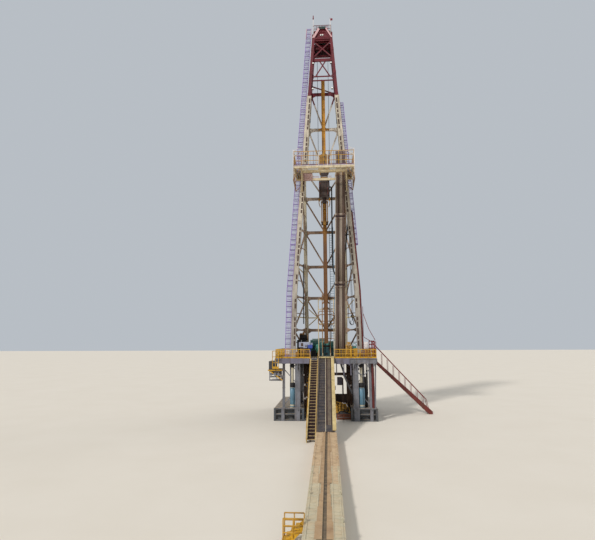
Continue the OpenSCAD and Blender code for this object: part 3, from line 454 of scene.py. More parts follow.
def glow(name, base):
    n = Nodes(name)
    bright = tint(*[min(255, c + 22) for c in base])
    n.paint("Base Color", n.mix(n.span(n.noise(9.0), 0.3, 0.7), tint(*base), bright))
    n.paint("Roughness", 0.2)
    n.bump(n.noise(60.0), 0.1, 0.002)
    return n.mat


# Name, colour, darker shade, chips, streaks, dust, then what differs from coat's other values
PAINTS = (
    ("base_grey", (80, 84, 88), (46, 50, 52), 0.6, 0.6, 0.6),
    ("column_grey", (124, 124, 130), (74, 73, 74), 0.6, 0.7, 0.4),
    ("rod_cream", (196, 186, 160), (150, 142, 122), 0.6, 0.35, 0.5, dict(rough=0.4)),
    ("stack_brown", (150, 96, 44), (72, 46, 28), 0.9, 0.8, 0.5),
    ("table_green", (40, 70, 62), None, 0.6, 0.5, 0.3, dict(rough=0.6)),
    ("worn_steel", (150, 146, 140), (92, 86, 80), 0.6, 0.5, 0.15, dict(rough=0.32, metal=0.9)),
    ("rail_yellow", (212, 160, 26), (140, 98, 18), 0.75, 0.45, 0.12),
    ("winch_teal", (44, 128, 124), (22, 72, 74), 0.6, 0.5, 0.35),
    ("setback_steel", (84, 80, 76), (52, 48, 46), 0.6, 0.5, 0.5, dict(rough=0.55, metal=0.6)),
    ("ramp_steel", (120, 108, 98), (72, 64, 58), 0.6, 0.8, 0.25, dict(rough=0.45, metal=0.45)),
    ("stair_yellow", (206, 184, 128), (158, 134, 84), 0.6, 0.45, 0.2),
    ("tread_grating", (84, 76, 64), (46, 42, 38), 0.6, 0.5, 0.3, dict(metal=0.4)),
    ("deck_rust", (204, 176, 140), (150, 112, 78), 0.95, 0.4, 0.55, dict(worn=(104, 58, 34))),
    ("deck_dusty", (196, 188, 160), (150, 140, 118), 0.6, 0.3, 0.6, dict(worn=(120, 96, 74))),
    ("cabin_dark", (54, 58, 64), (30, 33, 38), 0.6, 0.4, 0.5),
    ("stair_red", (112, 42, 32), (66, 22, 18), 0.6, 0.5, 0.3),
    # The legs' low colour is painted shade: greyer on their lower part.
    ("mast_cream", (212, 200, 178), (150, 138, 124), 0.85, 0.7, 0.25,
     dict(low=((168, 160, 150), 5.5, 15.0))),
    ("rear_green", (184, 173, 146), (124, 112, 92), 0.9, 0.75, 0.25),
    # brace_brown is the legs' cream darkened: painted shade on the bracing.
    ("brace_brown", (164, 138, 116), (104, 82, 66), 0.9, 0.75, 0.25),
    # The beams' low colour is painted shade: browner below the racking board.
    ("beam_white", (212, 202, 186), (150, 132, 114), 0.9, 0.7, 0.25,
     dict(low=((146, 116, 92), 14.2, 16.6))),
    ("mast_red", (110, 9, 28), (58, 5, 15), 0.5, 0.35, 0.06, dict(worn=(44, 14, 14))),
    ("sheave_green", (30, 58, 54), (16, 30, 30), 0.6, 0.5, 0.1),
    # The guide rail's low colour is painted shade: browner below the top drive.
    ("guide_orange", (206, 142, 16), (118, 76, 22), 0.85, 0.75, 0.08,
     dict(low=((112, 72, 36), 11.5, 15.0))),
    ("board_cream", (220, 204, 168), (176, 152, 112), 0.7, 0.5, 0.3),
    ("pipe_brown", (126, 102, 90), (58, 44, 38), 0.6, 0.5, 0.05,
     dict(worn=(46, 34, 30), rough=0.5, metal=0.35, tone=(5.0, 0.02))),
    ("ladder_plum", (172, 154, 206), (134, 112, 172), 0.6, 0.3, 0.05),
    ("pipe_red", (104, 30, 24), (58, 16, 14), 0.6, 0.5, 0.15),
    ("wire_rope", (46, 44, 42), (24, 23, 22), 0.6, 0.5, 0.05, dict(rough=0.5, metal=0.6)),
    ("block_yellow", (178, 128, 34), (92, 62, 22), 0.9, 0.8, 0.1),
    ("drive_dark", (60, 44, 38), (28, 21, 20), 0.85, 0.4, 0.12, dict(worn=(134, 72, 44))),
    ("rubber_black", (24, 24, 26), (12, 12, 13), 0.3, 0.15, 0.2, dict(worn=(60, 54, 48), rough=0.7)),
    ("plate_white", (228, 220, 216), (196, 180, 176), 0.5, 0.4, 0.1),
    ("gable_pink", (222, 178, 178), (178, 112, 116), 0.7, 0.4, 0.1, dict(worn=(140, 40, 48))),
    ("hanger_brown", (150, 106, 54), (92, 62, 34), 0.8, 0.7, 0.15),
    ("pocket_brown", (84, 60, 46), (46, 32, 26), 0.8, 0.6, 0.1, dict(worn=(134, 116, 98))),
    ("panel_dark", (46, 16, 20), (20, 10, 12), 0.5, 0.3, 0.05, dict(worn=(90, 30, 30))),
    ("rail_mauve", (120, 92, 110), (78, 56, 70), 0.6, 0.4, 0.1),
    ("sleeve_blue", (96, 134, 152), (56, 84, 104), 0.6, 0.4, 0.3, dict(rough=0.35)),
    ("valve_teal", (40, 120, 110), (22, 70, 66), 0.7, 0.5, 0.3),
    ("rung_purple", (106, 80, 146), (76, 56, 110), 0.4, 0.3, 0.05),
    ("valve_yellow", (196, 146, 40), (120, 82, 28), 0.8, 0.6, 0.2),
    ("box_blue", (58, 86, 176), (32, 48, 110), 0.5, 0.4, 0.2),
    ("fascia_grey", (116, 112, 126), (78, 74, 84), 0.6, 0.6, 0.2),
    ("ramp_dark", (44, 45, 56), (26, 26, 32), 0.8, 0.6, 0.12, dict(worn=(84, 74, 68), rough=0.4)),
    ("handrail_red", (126, 34, 34), (72, 18, 20), 0.6, 0.4, 0.1),
    ("worn_tan", (176, 140, 100), (124, 90, 62), 0.9, 0.3, 0.35,
     dict(worn=(196, 176, 146), tone=(1.6, 1))),
    ("finger_mauve", (196, 164, 158), (128, 96, 96), 0.7, 0.5, 0.1),
    ("tread_tan", (200, 170, 118), (146, 116, 76), 0.7, 0.5, 0.3),
    ("lower_teal", (20, 78, 86), (10, 44, 52), 0.5, 0.4, 0.15),
    # The next teal is winch_teal lightened, a painted highlight on the drawworks.
    ("drum_teal", (96, 184, 160), (40, 112, 104), 0.4, 0.3, 0.1),
    ("console_grey", (172, 176, 192), (112, 114, 130), 0.6, 0.5, 0.2),
    ("pipe_pale", (172, 156, 138), (126, 110, 98), 0.6, 0.4, 0.1,
     dict(worn=(84, 66, 56), tone=(5.0, 0.02))),
    ("rusty_brown", (132, 70, 40), (74, 38, 24), 0.8, 0.7, 0.3, dict(worn=(176, 120, 70))),
)
M = {}
for name, base, shade, chips, streaks, dust, *rest in PAINTS:
    M[name] = coat(name, base, shade, chips, streaks, dust, **dict(*rest))
for name, base in (("lamp_glass", (240, 238, 228)), ("beacon_red", (112, 14, 32))):
    M[name] = glow(name, base)

slot_of = {part["node"]: part["material_slot"] for part in frame["record"]["subparts"]}
for obj in list(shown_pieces()):
    node = obj.get("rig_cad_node")
    material = M[slot_of[node]]
    if not obj.data.materials:
        obj.data.materials.append(material)
    for k in range(len(obj.material_slots)):
        obj.material_slots[k].material = material

# Stage
GROUND = ((-400, -300), (400, -300), (400, 260), (-400, 260))
ground_mesh = bpy.data.meshes.new("ground")
ground_mesh.from_pydata([(x, y, -0.004) for x, y in GROUND], [], [(0, 1, 2, 3)])
ground = bpy.data.objects.new("ground", ground_mesh)
scene.collection.objects.link(ground)
pale = Nodes("floor_pale")
pale.paint("Base Color", pale.mix(pale.noise(0.3), tint(214, 203, 186), tint(222, 212, 197)))
pale.paint("Roughness", 0.9)
ground_mesh.materials.append(pale.mat)

# Substructure
for word, side, inner, outer in (("left", -1, 1.45, 3.215), ("right", 1, 1.5, 3.035)):
    lip = 0.035
    xs = sorted((side * inner, side * outer))
    for z in (0.0, BASE_H - lip):
        for x, out in ((xs[0], -1), (xs[1], 1)):
            s.box((x, FRONT, z), (x + out * 0.03, REAR, z + lip))
    for x, out in ((xs[0], -1), (xs[1], 1)):
        s.ribs_y(spread(FRONT + 0.1, REAR - 0.1, 11), 0.012, x, x + out * 0.026, lip, BASE_H - lip)
    for y, out in ((FRONT, -1), (REAR, 1)):
        s.ribs_x(xs, 0.05, y, y + out * 0.02, 0, BASE_H)
        s.rod((xs[0] + 0.09, y - out * 0.06, 0.375), (xs[1] - 0.09, y - out * 0.06, 0.375), 0.06, 16)
        for x in (xs[0] + 0.3, xs[1] - 0.3):
            s.ring((x, y + out * 0.02, 0.64), ALONG_X, 0.035, 0.012, 12)
    s.done(f"base_trim_{word}", "base_grey", bevel=0.004)

COLUMN_ROWS = (-2.5, 0.2, 3.0)
for word, side in SIDE_WORDS:
    for y in COLUMN_ROWS:
        x = side * COLUMN_X
        for dx in SIDES:
            for dy in SIDES:
                cx, cy = x + dx * 0.15, y + dy * 0.15
                s.box((cx - dx * 0.05, cy, BASE_H), (cx, cy + dy * 0.012, UNDER))
                s.box((cx, cy - dy * 0.05, BASE_H), (cx + dx * 0.012, cy + dy * 0.012, UNDER))
        for z in spread(0.95, 3.1, 7):
            s.pad(x, y, 0.16, 0.158, z - 0.02, z + 0.02)
        for z in (BASE_H, UNDER - 0.03):
            s.pad(x, y, 0.23, 0.23, z, z + 0.03)
            s.bolts([(x + i * 0.2, y + j * 0.2, z + 0.03) for i in SIDES for j in SIDES], ALONG_Z,
                    0.02, 0.02)
        s.rod_x(x - 0.2, x + 0.2, y, 3.12, 0.05, 14)
    for y in COLUMN_ROWS[::2]:
        x = side * SLIM_X
        for z in (BASE_H, UNDER - 0.025):
            s.pad(x, y, 0.13, 0.13, z, z + 0.025)
        for z in (1.3, 1.95, 2.6):
            s.pad(x, y, 0.085, 0.085, z - 0.03, z + 0.03)
        for z0, z1 in ((0.9, 1.7), (3.1, 2.3)):
            s.bar((x, y, z0), (side * 1.95, y, z1), 0.05, 0.05)
    s.done(f"column_trim_{word}", "column_grey", bevel=0.003)

    x, y = side * 2.13, -2.5
    for z0, z1, r in ((0.8, 0.86, 0.168), (0.95, 1.9, 0.158), (1.9, 1.96, 0.168)):
        s.post(x, y, z0, z1, r, 24)
    s.tube([(x + 0.13, y - 0.1, 0.95), (x + 0.17, y - 0.14, 1.05), (x + 0.17, y - 0.14, 1.85),
            (x + 0.12, y - 0.09, 1.95)], 0.018, 8)
    s.done(f"cylinder_sleeves_{word}", "sleeve_blue", "rod_cream", bevel=0.003)
    s.post(x, y, 1.98, 2.26, 0.165, 24)
    s.post(x, y, 3.18, 3.4, 0.11, 20)
    s.rod_x(x - 0.17, x + 0.17, y, 3.28, 0.04, 12)
    s.done(f"cylinder_collars_{word}", "rubber_black", "rod_cream", bevel=0.003)

for side in SIDES:
    x = side * COLUMN_X
    for k in (0, 1):
        y0, y1 = COLUMN_ROWS[k] + 0.15, COLUMN_ROWS[k + 1] - 0.15
        for y, way in ((y0, 1), (y1, -1)):
            for z, up in ((0.78, 1), (UNDER - 0.03, -1)):
                for off in (-0.075, 0.075):
                    s.plate_x(x + off, [(y, z), (y + way * 0.42, z), (y + way * 0.42, z + up * 0.12),
                                        (y + way * 0.12, z + up * 0.42), (y, z + up * 0.42)], 0.014)
        mid = (y0 + y1) / 2
        s.pad(x, mid, 0.08, 0.16, 1.87, 2.18)
for y in (-1.3, 1.3, 3.0):
    for z0, z1 in ((0.0, 0.03), (0.28, 0.312)):
        s.rib_y(y, 0.17, -1.45, 1.5, z0, z1)
    for x in spread(-1.35, 1.4, 7):
        s.pad(x, y, 0.012, 0.162, 0.03, 0.27)
s.done("brace_gussets", "column_grey", bevel=0.003)

# Floor edge beams, fascia and things hung under the floor
for y, out in ((FRONT, -1), (REAR, 1)):
    for z in (UNDER, FLOOR - 0.06):
        s.box((LEFT, y, z), (RIGHT, y + out * 0.035, z + 0.025))
    for x in spread(LEFT + 0.05, RIGHT - 0.05, 15):
        if out > 0 or not -1.0 < x < 0.45:
            s.rib_x(x, 0.012, y, y + out * 0.03, UNDER + 0.02, FLOOR - 0.05)
for x, out in ((LEFT, -1), (RIGHT, 1)):
    for z in (UNDER, FLOOR - 0.06):
        s.box((x, FRONT, z), (x + out * 0.035, REAR, z + 0.025))
    s.ribs_y(spread(FRONT + 0.05, REAR - 0.05, 15), 0.012, x, x + out * 0.03, UNDER + 0.02,
             FLOOR - 0.05)
for x in (-2.7, -1.8, 1.8, 2.6):
    s.plate_x(x, [(FRONT - 0.02, UNDER), (FRONT + 0.35, UNDER), (FRONT + 0.35, UNDER - 0.1),
                  (FRONT + 0.02, UNDER - 0.38), (FRONT - 0.02, UNDER - 0.38)], 0.03)
s.done("floor_edge", "column_grey", bevel=0.003)

# Back of the rig: tanks, cable tray and pipe runs on the base and along the floor's edge
s.rod_x(2.15, 2.8, 2.2, 0.98, 0.2, 24)
s.ribs_x((2.25, 2.7), 0.05, 2.02, 2.38, BASE_H, 0.86)
s.done("rear_air_tank", "sleeve_blue", "rod_cream", bevel=0.004)
for k, z in enumerate((3.5, 3.58, 3.66)):
    s.tube([(LEFT + 0.2, REAR + 0.05, z), (RIGHT - 0.25, REAR + 0.05, z),
            (RIGHT - 0.2 + 0.05 * k, REAR + 0.05, z - 0.1),
            (RIGHT - 0.2 + 0.05 * k, REAR + 0.05, 0.9)], 0.018, 8)
s.ribs_x(spread(LEFT + 0.3, RIGHT - 0.3, 9), 0.02, REAR, REAR + 0.075, 3.46, 3.7)
s.done("rear_cable_run", "rubber_black", "drive_dark")
for x in (-2.3, -1.9):
    s.post(x, 1.9, FLOOR, FLOOR + 0.42, 0.09, 16)
    s.post(x, 1.9, FLOOR + 0.42, FLOOR + 0.46, 0.11, 16)
s.boxes(FLOOR, (1.35, 1.7, 0.008, 2.2, 2.35, 0.12), (1.42, 1.76, 0.12, 2.12, 2.28, 0.55))
s.rod_x(1.42, 2.12, 2.02, FLOOR + 0.62, 0.12, 20)
s.tube([(1.42, 2.1, FLOOR + 0.3), (1.1, 2.1, FLOOR + 0.2), (0.6, 2.1, FLOOR + 0.2),
        (0.5, 2.1, FLOOR + 0.2)], 0.04, 10)
s.done("rear_floor_equipment", "column_grey", bevel=0.008)

# Deck plates, mats and hatches that lie on the floor
xs, ys = spread(LEFT, RIGHT, 8), spread(FRONT, REAR, 8)
for x0, x1 in zip(xs, xs[1:]):
    for y0, y1 in zip(ys, ys[1:]):
        if abs((x0 + x1) / 2) >= 0.9 or abs((y0 + y1) / 2) >= 0.9:
            s.box((x0 + 0.008, y0 + 0.008, FLOOR), (x1 - 0.008, y1 - 0.008, FLOOR + 0.008))
for x in spread(-2.9, 0.35, 24):
    for y in spread(-2.5, -1.0, 9):
        s.pad(x, y, 0.03, 0.008, FLOOR + 0.008, FLOOR + 0.013)
s.done("deck_plates", "setback_steel", "column_grey")

# Floor railings
y0, y1, x0, x1 = FRONT + 0.026, REAR - 0.026, LEFT + 0.026, RIGHT - 0.026
for p, q, posts, gap in (((x0, y0), (-1.04, y0), 6, 0.085), ((0.515, y0), (x1, y0), 8, 0.085),
                         ((x0, y0), (x0, y1), 12, 0.11), ((x0, y1), (x1, y1), 12, 0.11),
                         ((x1, 0.8), (x1, y1), 5, 0.11), ((x1, y0), (x1, 0.2), 6, 0.11)):
    handrail((*p, FLOOR), (*q, FLOOR), RAIL_H, posts, mesh=gap)
s.done("floor_rail_infill", "rail_yellow")

# Drawworks
dx0, dx1, dy0, dy1, dz = -1.225, 0.485, 1.35, 2.55, 4.4375
for x in spread(dx0 + 0.02, dx1 - 0.02, 7):
    s.rib_x(x, 0.012, dy0 - 0.014, dy0, FLOOR, dz)
    s.rib_x(x, 0.012, dy1, dy1 + 0.014, FLOOR, dz)
for z in (FLOOR, dz - 0.03):
    s.box((dx0, dy0 - 0.02, z), (dx1, dy0, z + 0.03))
for x in (-0.96, -0.62, -0.28):
    s.ring((x, 1.95, 4.375), ALONG_X, 0.633, 0.012, 40)
s.box((-0.75, dy0 - 0.035, FLOOR + 0.1), (-0.3, dy0 - 0.012, dz - 0.1))
s.box((-0.05, dy0 - 0.03, FLOOR + 0.12), (0.35, dy0 - 0.012, dz - 0.12))
for k in range(9):
    s.box((-0.03, dy0 - 0.04, FLOOR + 0.15 + k * 0.05), (0.33, dy0 - 0.03, FLOOR + 0.17 + k * 0.05))
for x in (0.18, 0.36):
    s.post(x, 1.6, dz, dz + 0.32, 0.09, 18)
    s.post(x, 1.6, dz + 0.32, dz + 0.36, 0.11, 18)
s.rod_x(0.1, 0.46, 2.2, dz + 0.16, 0.15, 24)
s.tube([(-1.15, 1.4, dz), (-1.15, 1.4, dz + 0.3), (-1.15, 2.5, dz + 0.3), (-1.15, 2.5, dz)], 0.014, 8)
s.done("drawworks_panels", "winch_teal", bevel=0.004)

s.plate_x(0.02, [(1.36, FLOOR + 0.01), (0.84, FLOOR + 0.01), (0.84, 4.58), (0.92, 4.74), (1.1, 4.83),
                 (1.36, 4.83)], 0.96)
s.ribs_x((-0.44, -0.2, 0.1, 0.3, 0.48), 0.012, 0.828, 0.842, FLOOR + 0.01, 4.57)
s.boxes(0, (-0.46, 0.825, 4.34, 0.5, 0.842, 4.37), (-0.46, 0.825, 4.55, 0.5, 0.842, 4.58))
s.plate_x(-0.8, [(1.36, 4.5), (1.0, 4.5), (1.0, 4.72), (1.12, 4.88), (1.36, 4.92)], 0.68)
s.done("drawworks_hood", "winch_teal", bevel=0.012)
s.box((-0.44, 0.822, FLOOR + 0.02), (0.48, 0.841, 4.33))
for k in range(8):
    s.box((0.12, 0.812, FLOOR + 0.1 + k * 0.055), (0.42, 0.823, FLOOR + 0.13 + k * 0.055))
s.done("drawworks_lower_panel", "lower_teal", "winch_teal", bevel=0.004)
s.box((-0.34, 0.818, 4.4), (0.22, 0.842, 4.53))
# This black box fills the gap at the stair's head: painted shade.
s.box((-1.08, 0.84, FLOOR + 0.01), (-0.72, 1.34, 4.16))
s.rod_y(0.83, 0.8, 0.0, FLOOR + 0.2, 0.08, 18)
s.rod_y(0.83, 0.8, 0.3, FLOOR + 0.12, 0.06, 18)
s.done("drawworks_black_parts_and_gap_shade", "rubber_black", "drive_dark", bevel=0.004)
# Pale teal capsule at the drawworks' left: its colour is a painted highlight.
s.post(-0.64, 0.98, 4.02, 4.46, 0.155, 24)
s.ball((-0.64, 0.98, 4.46), 0.155, 20)
s.ring((-0.64, 0.98, 4.3), ALONG_Z, 0.157, 0.012)
s.done("drawworks_drum_guard", "drum_teal", "winch_teal")
s.post(-0.5, 0.8, FLOOR + 0.02, 4.36, 0.045, 12)
s.boxes(FLOOR, (-0.58, 0.74, 0.02, -0.46, 0.86, 0.14), (0.5, 0.84, 0.3, 0.56, 0.96, 0.55))
s.done("brake_levers", "rusty_brown", "stair_red", bevel=0.003)
# A small white box on the hood: a painted highlight, no lamp.
s.box((-0.06, 0.86, 4.8), (0.16, 1.0, 4.88))
s.done("hood_painted_highlight", "plate_white", "column_grey", bevel=0.006)

# Ramp, stair and catwalk
SLOPE = Vector((0, -RUN, CATWALK_H - FLOOR))


def on_ramp(x, t, up=0.0):
    return Vector((x, FRONT, FLOOR + up)) + SLOPE * t


def ramp_strip(x, up, wide, deep, t0=0.0, t1=1.0):
    """Bar down the ramp."""
    s.bar(on_ramp(x, t0, up), on_ramp(x, t1, up), wide, deep)


def ramp_rungs(t0, t1, count, x0, x1, up, wide, deep):
    """Bars across the ramp."""
    for t in spread(t0, t1, count):
        s.bar(on_ramp(x0, t, up), on_ramp(x1, t, up), wide, deep)


def ramp_plate(x0, x1, up, thick, t0=0.0):
    corners = ((x0, t0), (x1, t0), (x1, 1.0), (x0, 1.0))
    s.plate([on_ramp(x, t, up) for x, t in corners], thick)


def tread(k):
    """Where tread k of the stair beside the ramp has its edge: y and z."""
    return FRONT - k * RUN / STEPS, FLOOR * (1 - k / STEPS)


# The dark left lane of the ramp, strips and rungs included, is a painted shadow.
for x in (-0.4, -0.28, -0.16):
    ramp_strip(x, 0.014, 0.02, 0.016, 0.01, 0.99)
ramp_rungs(0.02, 0.98, 26, -0.46, -0.07, 0.012, 0.04, 0.012)
ramp_plate(-0.47, -0.065, 0.004, 0.008)
s.done("ramp_lane_painted_shadow", "ramp_dark", "ramp_steel")
for x in (0.11, 0.21):
    ramp_strip(x, 0.014, 0.018, 0.016, 0.01, 0.99)
ramp_rungs(0.03, 0.97, 13, -0.44, 0.355, -0.165, 0.05, 0.06)
ramp_strip(-0.5, 0.075, 0.07, 0.016)
s.done("ramp_strips", "ramp_steel", bevel=0.002)
ramp_plate(-0.035, 0.055, 0.007, 0.01)
ramp_plate(0.235, 0.262, 0.007, 0.01)
s.done("ramp_dark_channel", "panel_dark", "ramp_steel")
ramp_strip(0.37, 0.09, 0.17, 0.05)
ramp_strip(0.45, 0.11, 0.03, 0.06)
s.rod_x(-0.45, 0.36, FRONT - 0.02, FLOOR + 0.05, 0.05, 16)
ramp_rungs(0.02, 0.98, 14, 0.29, 0.45, 0.118, 0.02, 0.008)
s.done("ramp_rail", "stair_yellow", bevel=0.003)
ramp_strip(-0.05, 0.02, 0.028, 0.03)
s.done("ramp_light_strip", "rod_cream", "ramp_steel", bevel=0.002)

# Dark band across the foot of the ramp: painted shade.
ramp_plate(-0.47, 0.34, 0.022, 0.012, 0.93)
s.done("ramp_foot_painted_shade", "ramp_dark", "ramp_steel", bevel=0.002)

for x in (-0.98, -0.515):
    up = Vector((0, 0, 0.42))
    ends = Vector((x, FRONT, FLOOR)), Vector((x, RAMP_END, 0.17))
    s.tube([p + up for p in ends], 0.011, 8)
    for foot in spread(*ends, 10):
        s.rod(foot - Vector((0, 0, 0.1)), foot + up, 0.01, 8)
s.done("ramp_stair_rails", "rail_yellow", "stair_yellow")
for x in (-0.965, -0.53):
    s.bar((x, FRONT, FLOOR - 0.03), (x, RAMP_END, 0.14), 0.075, 0.02)
    s.bar((x, FRONT + 0.01, FLOOR - 0.2), (x, RAMP_END + 0.3, 0.12), 0.05, 0.02)
s.done("ramp_stair_flanges", "stair_yellow", bevel=0.002)
for k in range(1, STEPS - 1):
    y, z = tread(k + 0.5)
    s.box((-0.94, y + 0.02, z - 0.075), (-0.54, y + 0.035, z + 0.05))
s.done("ramp_stair_risers", "panel_dark", "tread_grating")
for k in range(1, STEPS):
    y, z = tread(k)
    for j in range(6):
        s.box((-0.95, y + 0.015 + j * 0.03, z), (-0.53, y + 0.022 + j * 0.03, z + 0.006))
s.done("ramp_stair_grating", "tread_grating")
for k in range(1, STEPS):
    y, z = tread(k)
    s.box((-0.95, y - 0.006, z - 0.014), (-0.53, y + 0.045, z + 0.01))
s.done("ramp_stair_nosings", "tread_tan", "tread_grating", bevel=0.002)


def catwalk_dress(name, y0, bays, paint):
    x0, x1 = -0.475, 0.45
    y1 = y0 - bays * BAY
    for x, out in ((x0, -1), (x1, 1)):
        for z in (0.47, 0.0):
            s.box((x, y1, z), (x + out * 0.022, y0, z + 0.03))
        s.ribs_y(spread(y0, y1, bays * 6 + 1), 0.01, x, x + out * 0.018, 0.03, 0.47)
    s.ribs_x((-0.43, -0.2, 0.2, 0.405), 0.02, y1, y0, CATWALK_H, 0.515)
    for y in middles(y0, y1, bays * 9):
        for a, b in ((-0.4, -0.08), (0.08, 0.38)):
            s.rib_y(y, 0.012, a, b, CATWALK_H, 0.507)
    for y in middles(y0, y1, bays):
        for x, way in ((x0 + 0.03, -1), (x1 - 0.03, 1)):
            s.pad(x, y, 0.02, 0.03, CATWALK_H, 0.6)
            s.rod_y(y - 0.05, y + 0.05, x, 0.6, 0.022, 10)
    s.done(name, paint, bevel=0.002)


catwalk_dress("catwalk_ribs_rear", RAMP_END, 3, "deck_rust")
catwalk_dress("catwalk_ribs_front", RAMP_END - 3 * BAY, 3, "deck_dusty")
s.box((-0.054, CATWALK_END, 0.466), (0.054, RAMP_END, 0.472))
s.done("catwalk_groove", "setback_steel", "deck_rust")
for k in range(12):
    y = RAMP_END - 0.99 * k
    wide = 0.08 + 0.03 * ((k * 5) % 4)
    s.boxes(0, (-0.055 - wide, y - 0.985, 0.516, -0.055, y, 0.5185),
            (0.045, y - 0.985, 0.516, 0.065 + wide * 0.8, y, 0.5185))
s.done("catwalk_rust_strips", "worn_tan", "deck_rust")
for x0, x1 in ((-0.41, -0.24), (0.18, 0.39)):
    s.box((x0, -16.75, CATWALK_H), (x1, -14.8, 0.5035))
s.done("catwalk_middle_sheets", "deck_rust")
for y in (-19.53, -19.9):
    for x in (-0.98, -0.74, -0.5):
        s.post(x, y, 0.02 if x < -0.9 else 0.2, 0.62, 0.016, 8)
    for z in (0.62, 0.46, 0.31):
        s.tube([(-0.98, y, z), (-0.5, y, z)], 0.016, 8)
s.done("access_step_rails", "valve_yellow", "rail_yellow")

# Mast legs and their bracing
for word, side in SIDE_WORDS:
    for z0, z1 in ((FLOOR, BEND), (BEND, RED)):
        p, q = front_pt(side, z0), front_pt(side, z1)
        s.corner_bars(p, q, 0.036, 0.012, 0.135, 0.144)
        for dy in (-0.125, 0.125):
            for dx in (-0.154, 0.154):
                s.bar(p, q, 0.012, 0.036, dx, dy)
    for z in LEG_JOINTS:
        p, q = front_pt(side, z - 0.28), front_pt(side, z + 0.28)
        s.bar(p, q, 0.33, 0.31)
        for dx in (-0.12, -0.04, 0.04, 0.12):
            for dz in (-0.22, -0.12, 0.12, 0.22):
                c = front_pt(side, z + dz) + Vector((dx, -0.155, 0))
                s.rod(c, c + Vector((0, -0.014, 0)), 0.013, 6)
    s.box((side * FOOT_X - 0.26, -0.98, FLOOR), (side * FOOT_X + 0.26, -0.52, FLOOR + 0.05))
    for dx in (-0.19, 0.19):
        s.plate_x(side * FOOT_X + dx, [(-0.95, FLOOR + 0.05), (-0.55, FLOOR + 0.05),
                                       (-0.63, FLOOR + 0.5), (-0.87, FLOOR + 0.5)], 0.03)
    s.rod_x(side * FOOT_X - 0.25, side * FOOT_X + 0.25, -0.75, FLOOR + 0.33, 0.05, 16)
    s.done(f"leg_flanges_{word}", "mast_cream", bevel=0.003)

    stops = [FLOOR + 0.15] + LEVELS + [RED - 0.18]
    for k, z in enumerate(stops):
        f, r = front_pt(side, z), rear_pt(side, z)
        for spot, way in ((f, 1), (r, -1)):
            inner = spot + Vector((0, way * 0.14, 0))
            far = lerp(spot, r if way > 0 else f, 0.33)
            s.plate([inner + Vector((0, 0, -0.2)), inner + Vector((0, 0, 0.2)),
                     far + Vector((0, 0, 0.07)), far - Vector((0, 0, 0.07))], 0.022)
        if k:
            low = stops[k - 1]
            f0, r0 = front_pt(side, low), rear_pt(side, low)
            mid = lerp(f, r0, 0.5) if k % 2 else lerp(f0, r, 0.5)
            s.bar(mid, lerp(f0, f, 0.5), 0.05, 0.05)
            s.bar(mid, lerp(r0, r, 0.5), 0.05, 0.05)
    # The side bracing's brown is painted shade.
    s.done(f"side_gussets_{word}", "brace_brown", bevel=0.002)

# Dark brown plates on the front and inner faces of the front legs: painted shade in the lattice's
# pockets.
for word, side in SIDE_WORDS:
    z, k = FLOOR + 0.75, 0
    while z < RED - 0.3:
        tall = (0.34, 0.22, 0.42)[k % 3]
        if not any(abs(z + tall / 2 - joint) < 0.36 for joint in LEG_JOINTS + (BEND,)):
            p, q = front_pt(side, z), front_pt(side, z + tall)
            s.bar(p, q, 0.125, 0.008, -side * 0.07, -0.143)
            s.bar(p, q, 0.008, 0.2, -side * 0.153, 0)
        z += tall + 0.09
        k += 1
    s.done(f"leg_pocket_shade_{word}", "pocket_brown", "mast_cream")

for z in LEVELS:
    c = Vector((0, rear_pt(1, z).y, z))
    for dy in (-0.066, 0.066):
        s.plate(at(c, (-0.2, dy, -0.09), (0.2, dy, -0.09), (0.2, dy, 0.1), (0.09, dy, 0.22),
                   (-0.09, dy, 0.22), (-0.2, dy, 0.1)), 0.016)
    for side in SIDES:
        e = rear_pt(side, z) - Vector((side * 0.12, 0, 0))
        for dy in (-0.066, 0.066):
            s.plate(at(e, (0, dy, -0.24), (0, dy, 0.14), (-side * 0.2, dy, 0.09),
                       (-side * 0.2, dy, -0.1)), 0.016)
    for dz in (-0.09, 0.09):
        s.bar(rear_pt(-1, z) + Vector((0.12, 0, dz)), rear_pt(1, z) + Vector((-0.12, 0, dz)), 0.014,
              0.15)
z = LEVELS[-1]
for side in SIDES:
    e = rear_pt(side, z) - Vector((side * 0.12, 0, 0))
    s.plate(at(e, (0, -0.03, -0.09), (-side * 0.42, -0.03, -0.09), (-side * 0.12, -0.03, -0.22),
               (0, -0.03, -0.52)), 0.05)
s.done("rear_gussets", "beam_white", bevel=0.002)

for side in SIDES:
    for z0, z1 in ((FLOOR, KNEE), (KNEE, RED)):
        p, q = rear_pt(side, z0), rear_pt(side, z1)
        s.corner_bars(p, q, 0.034, 0.012, 0.105, 0.144)
    for z in LEG_JOINTS:
        s.bar(rear_pt(side, z - 0.22), rear_pt(side, z + 0.22), 0.27, 0.306)
    s.box((side * REAR_X - 0.2, 0.68, FLOOR), (side * REAR_X + 0.2, 1.08, FLOOR + 0.05))
s.done("rear_leg_flanges", "rear_green", bevel=0.003)

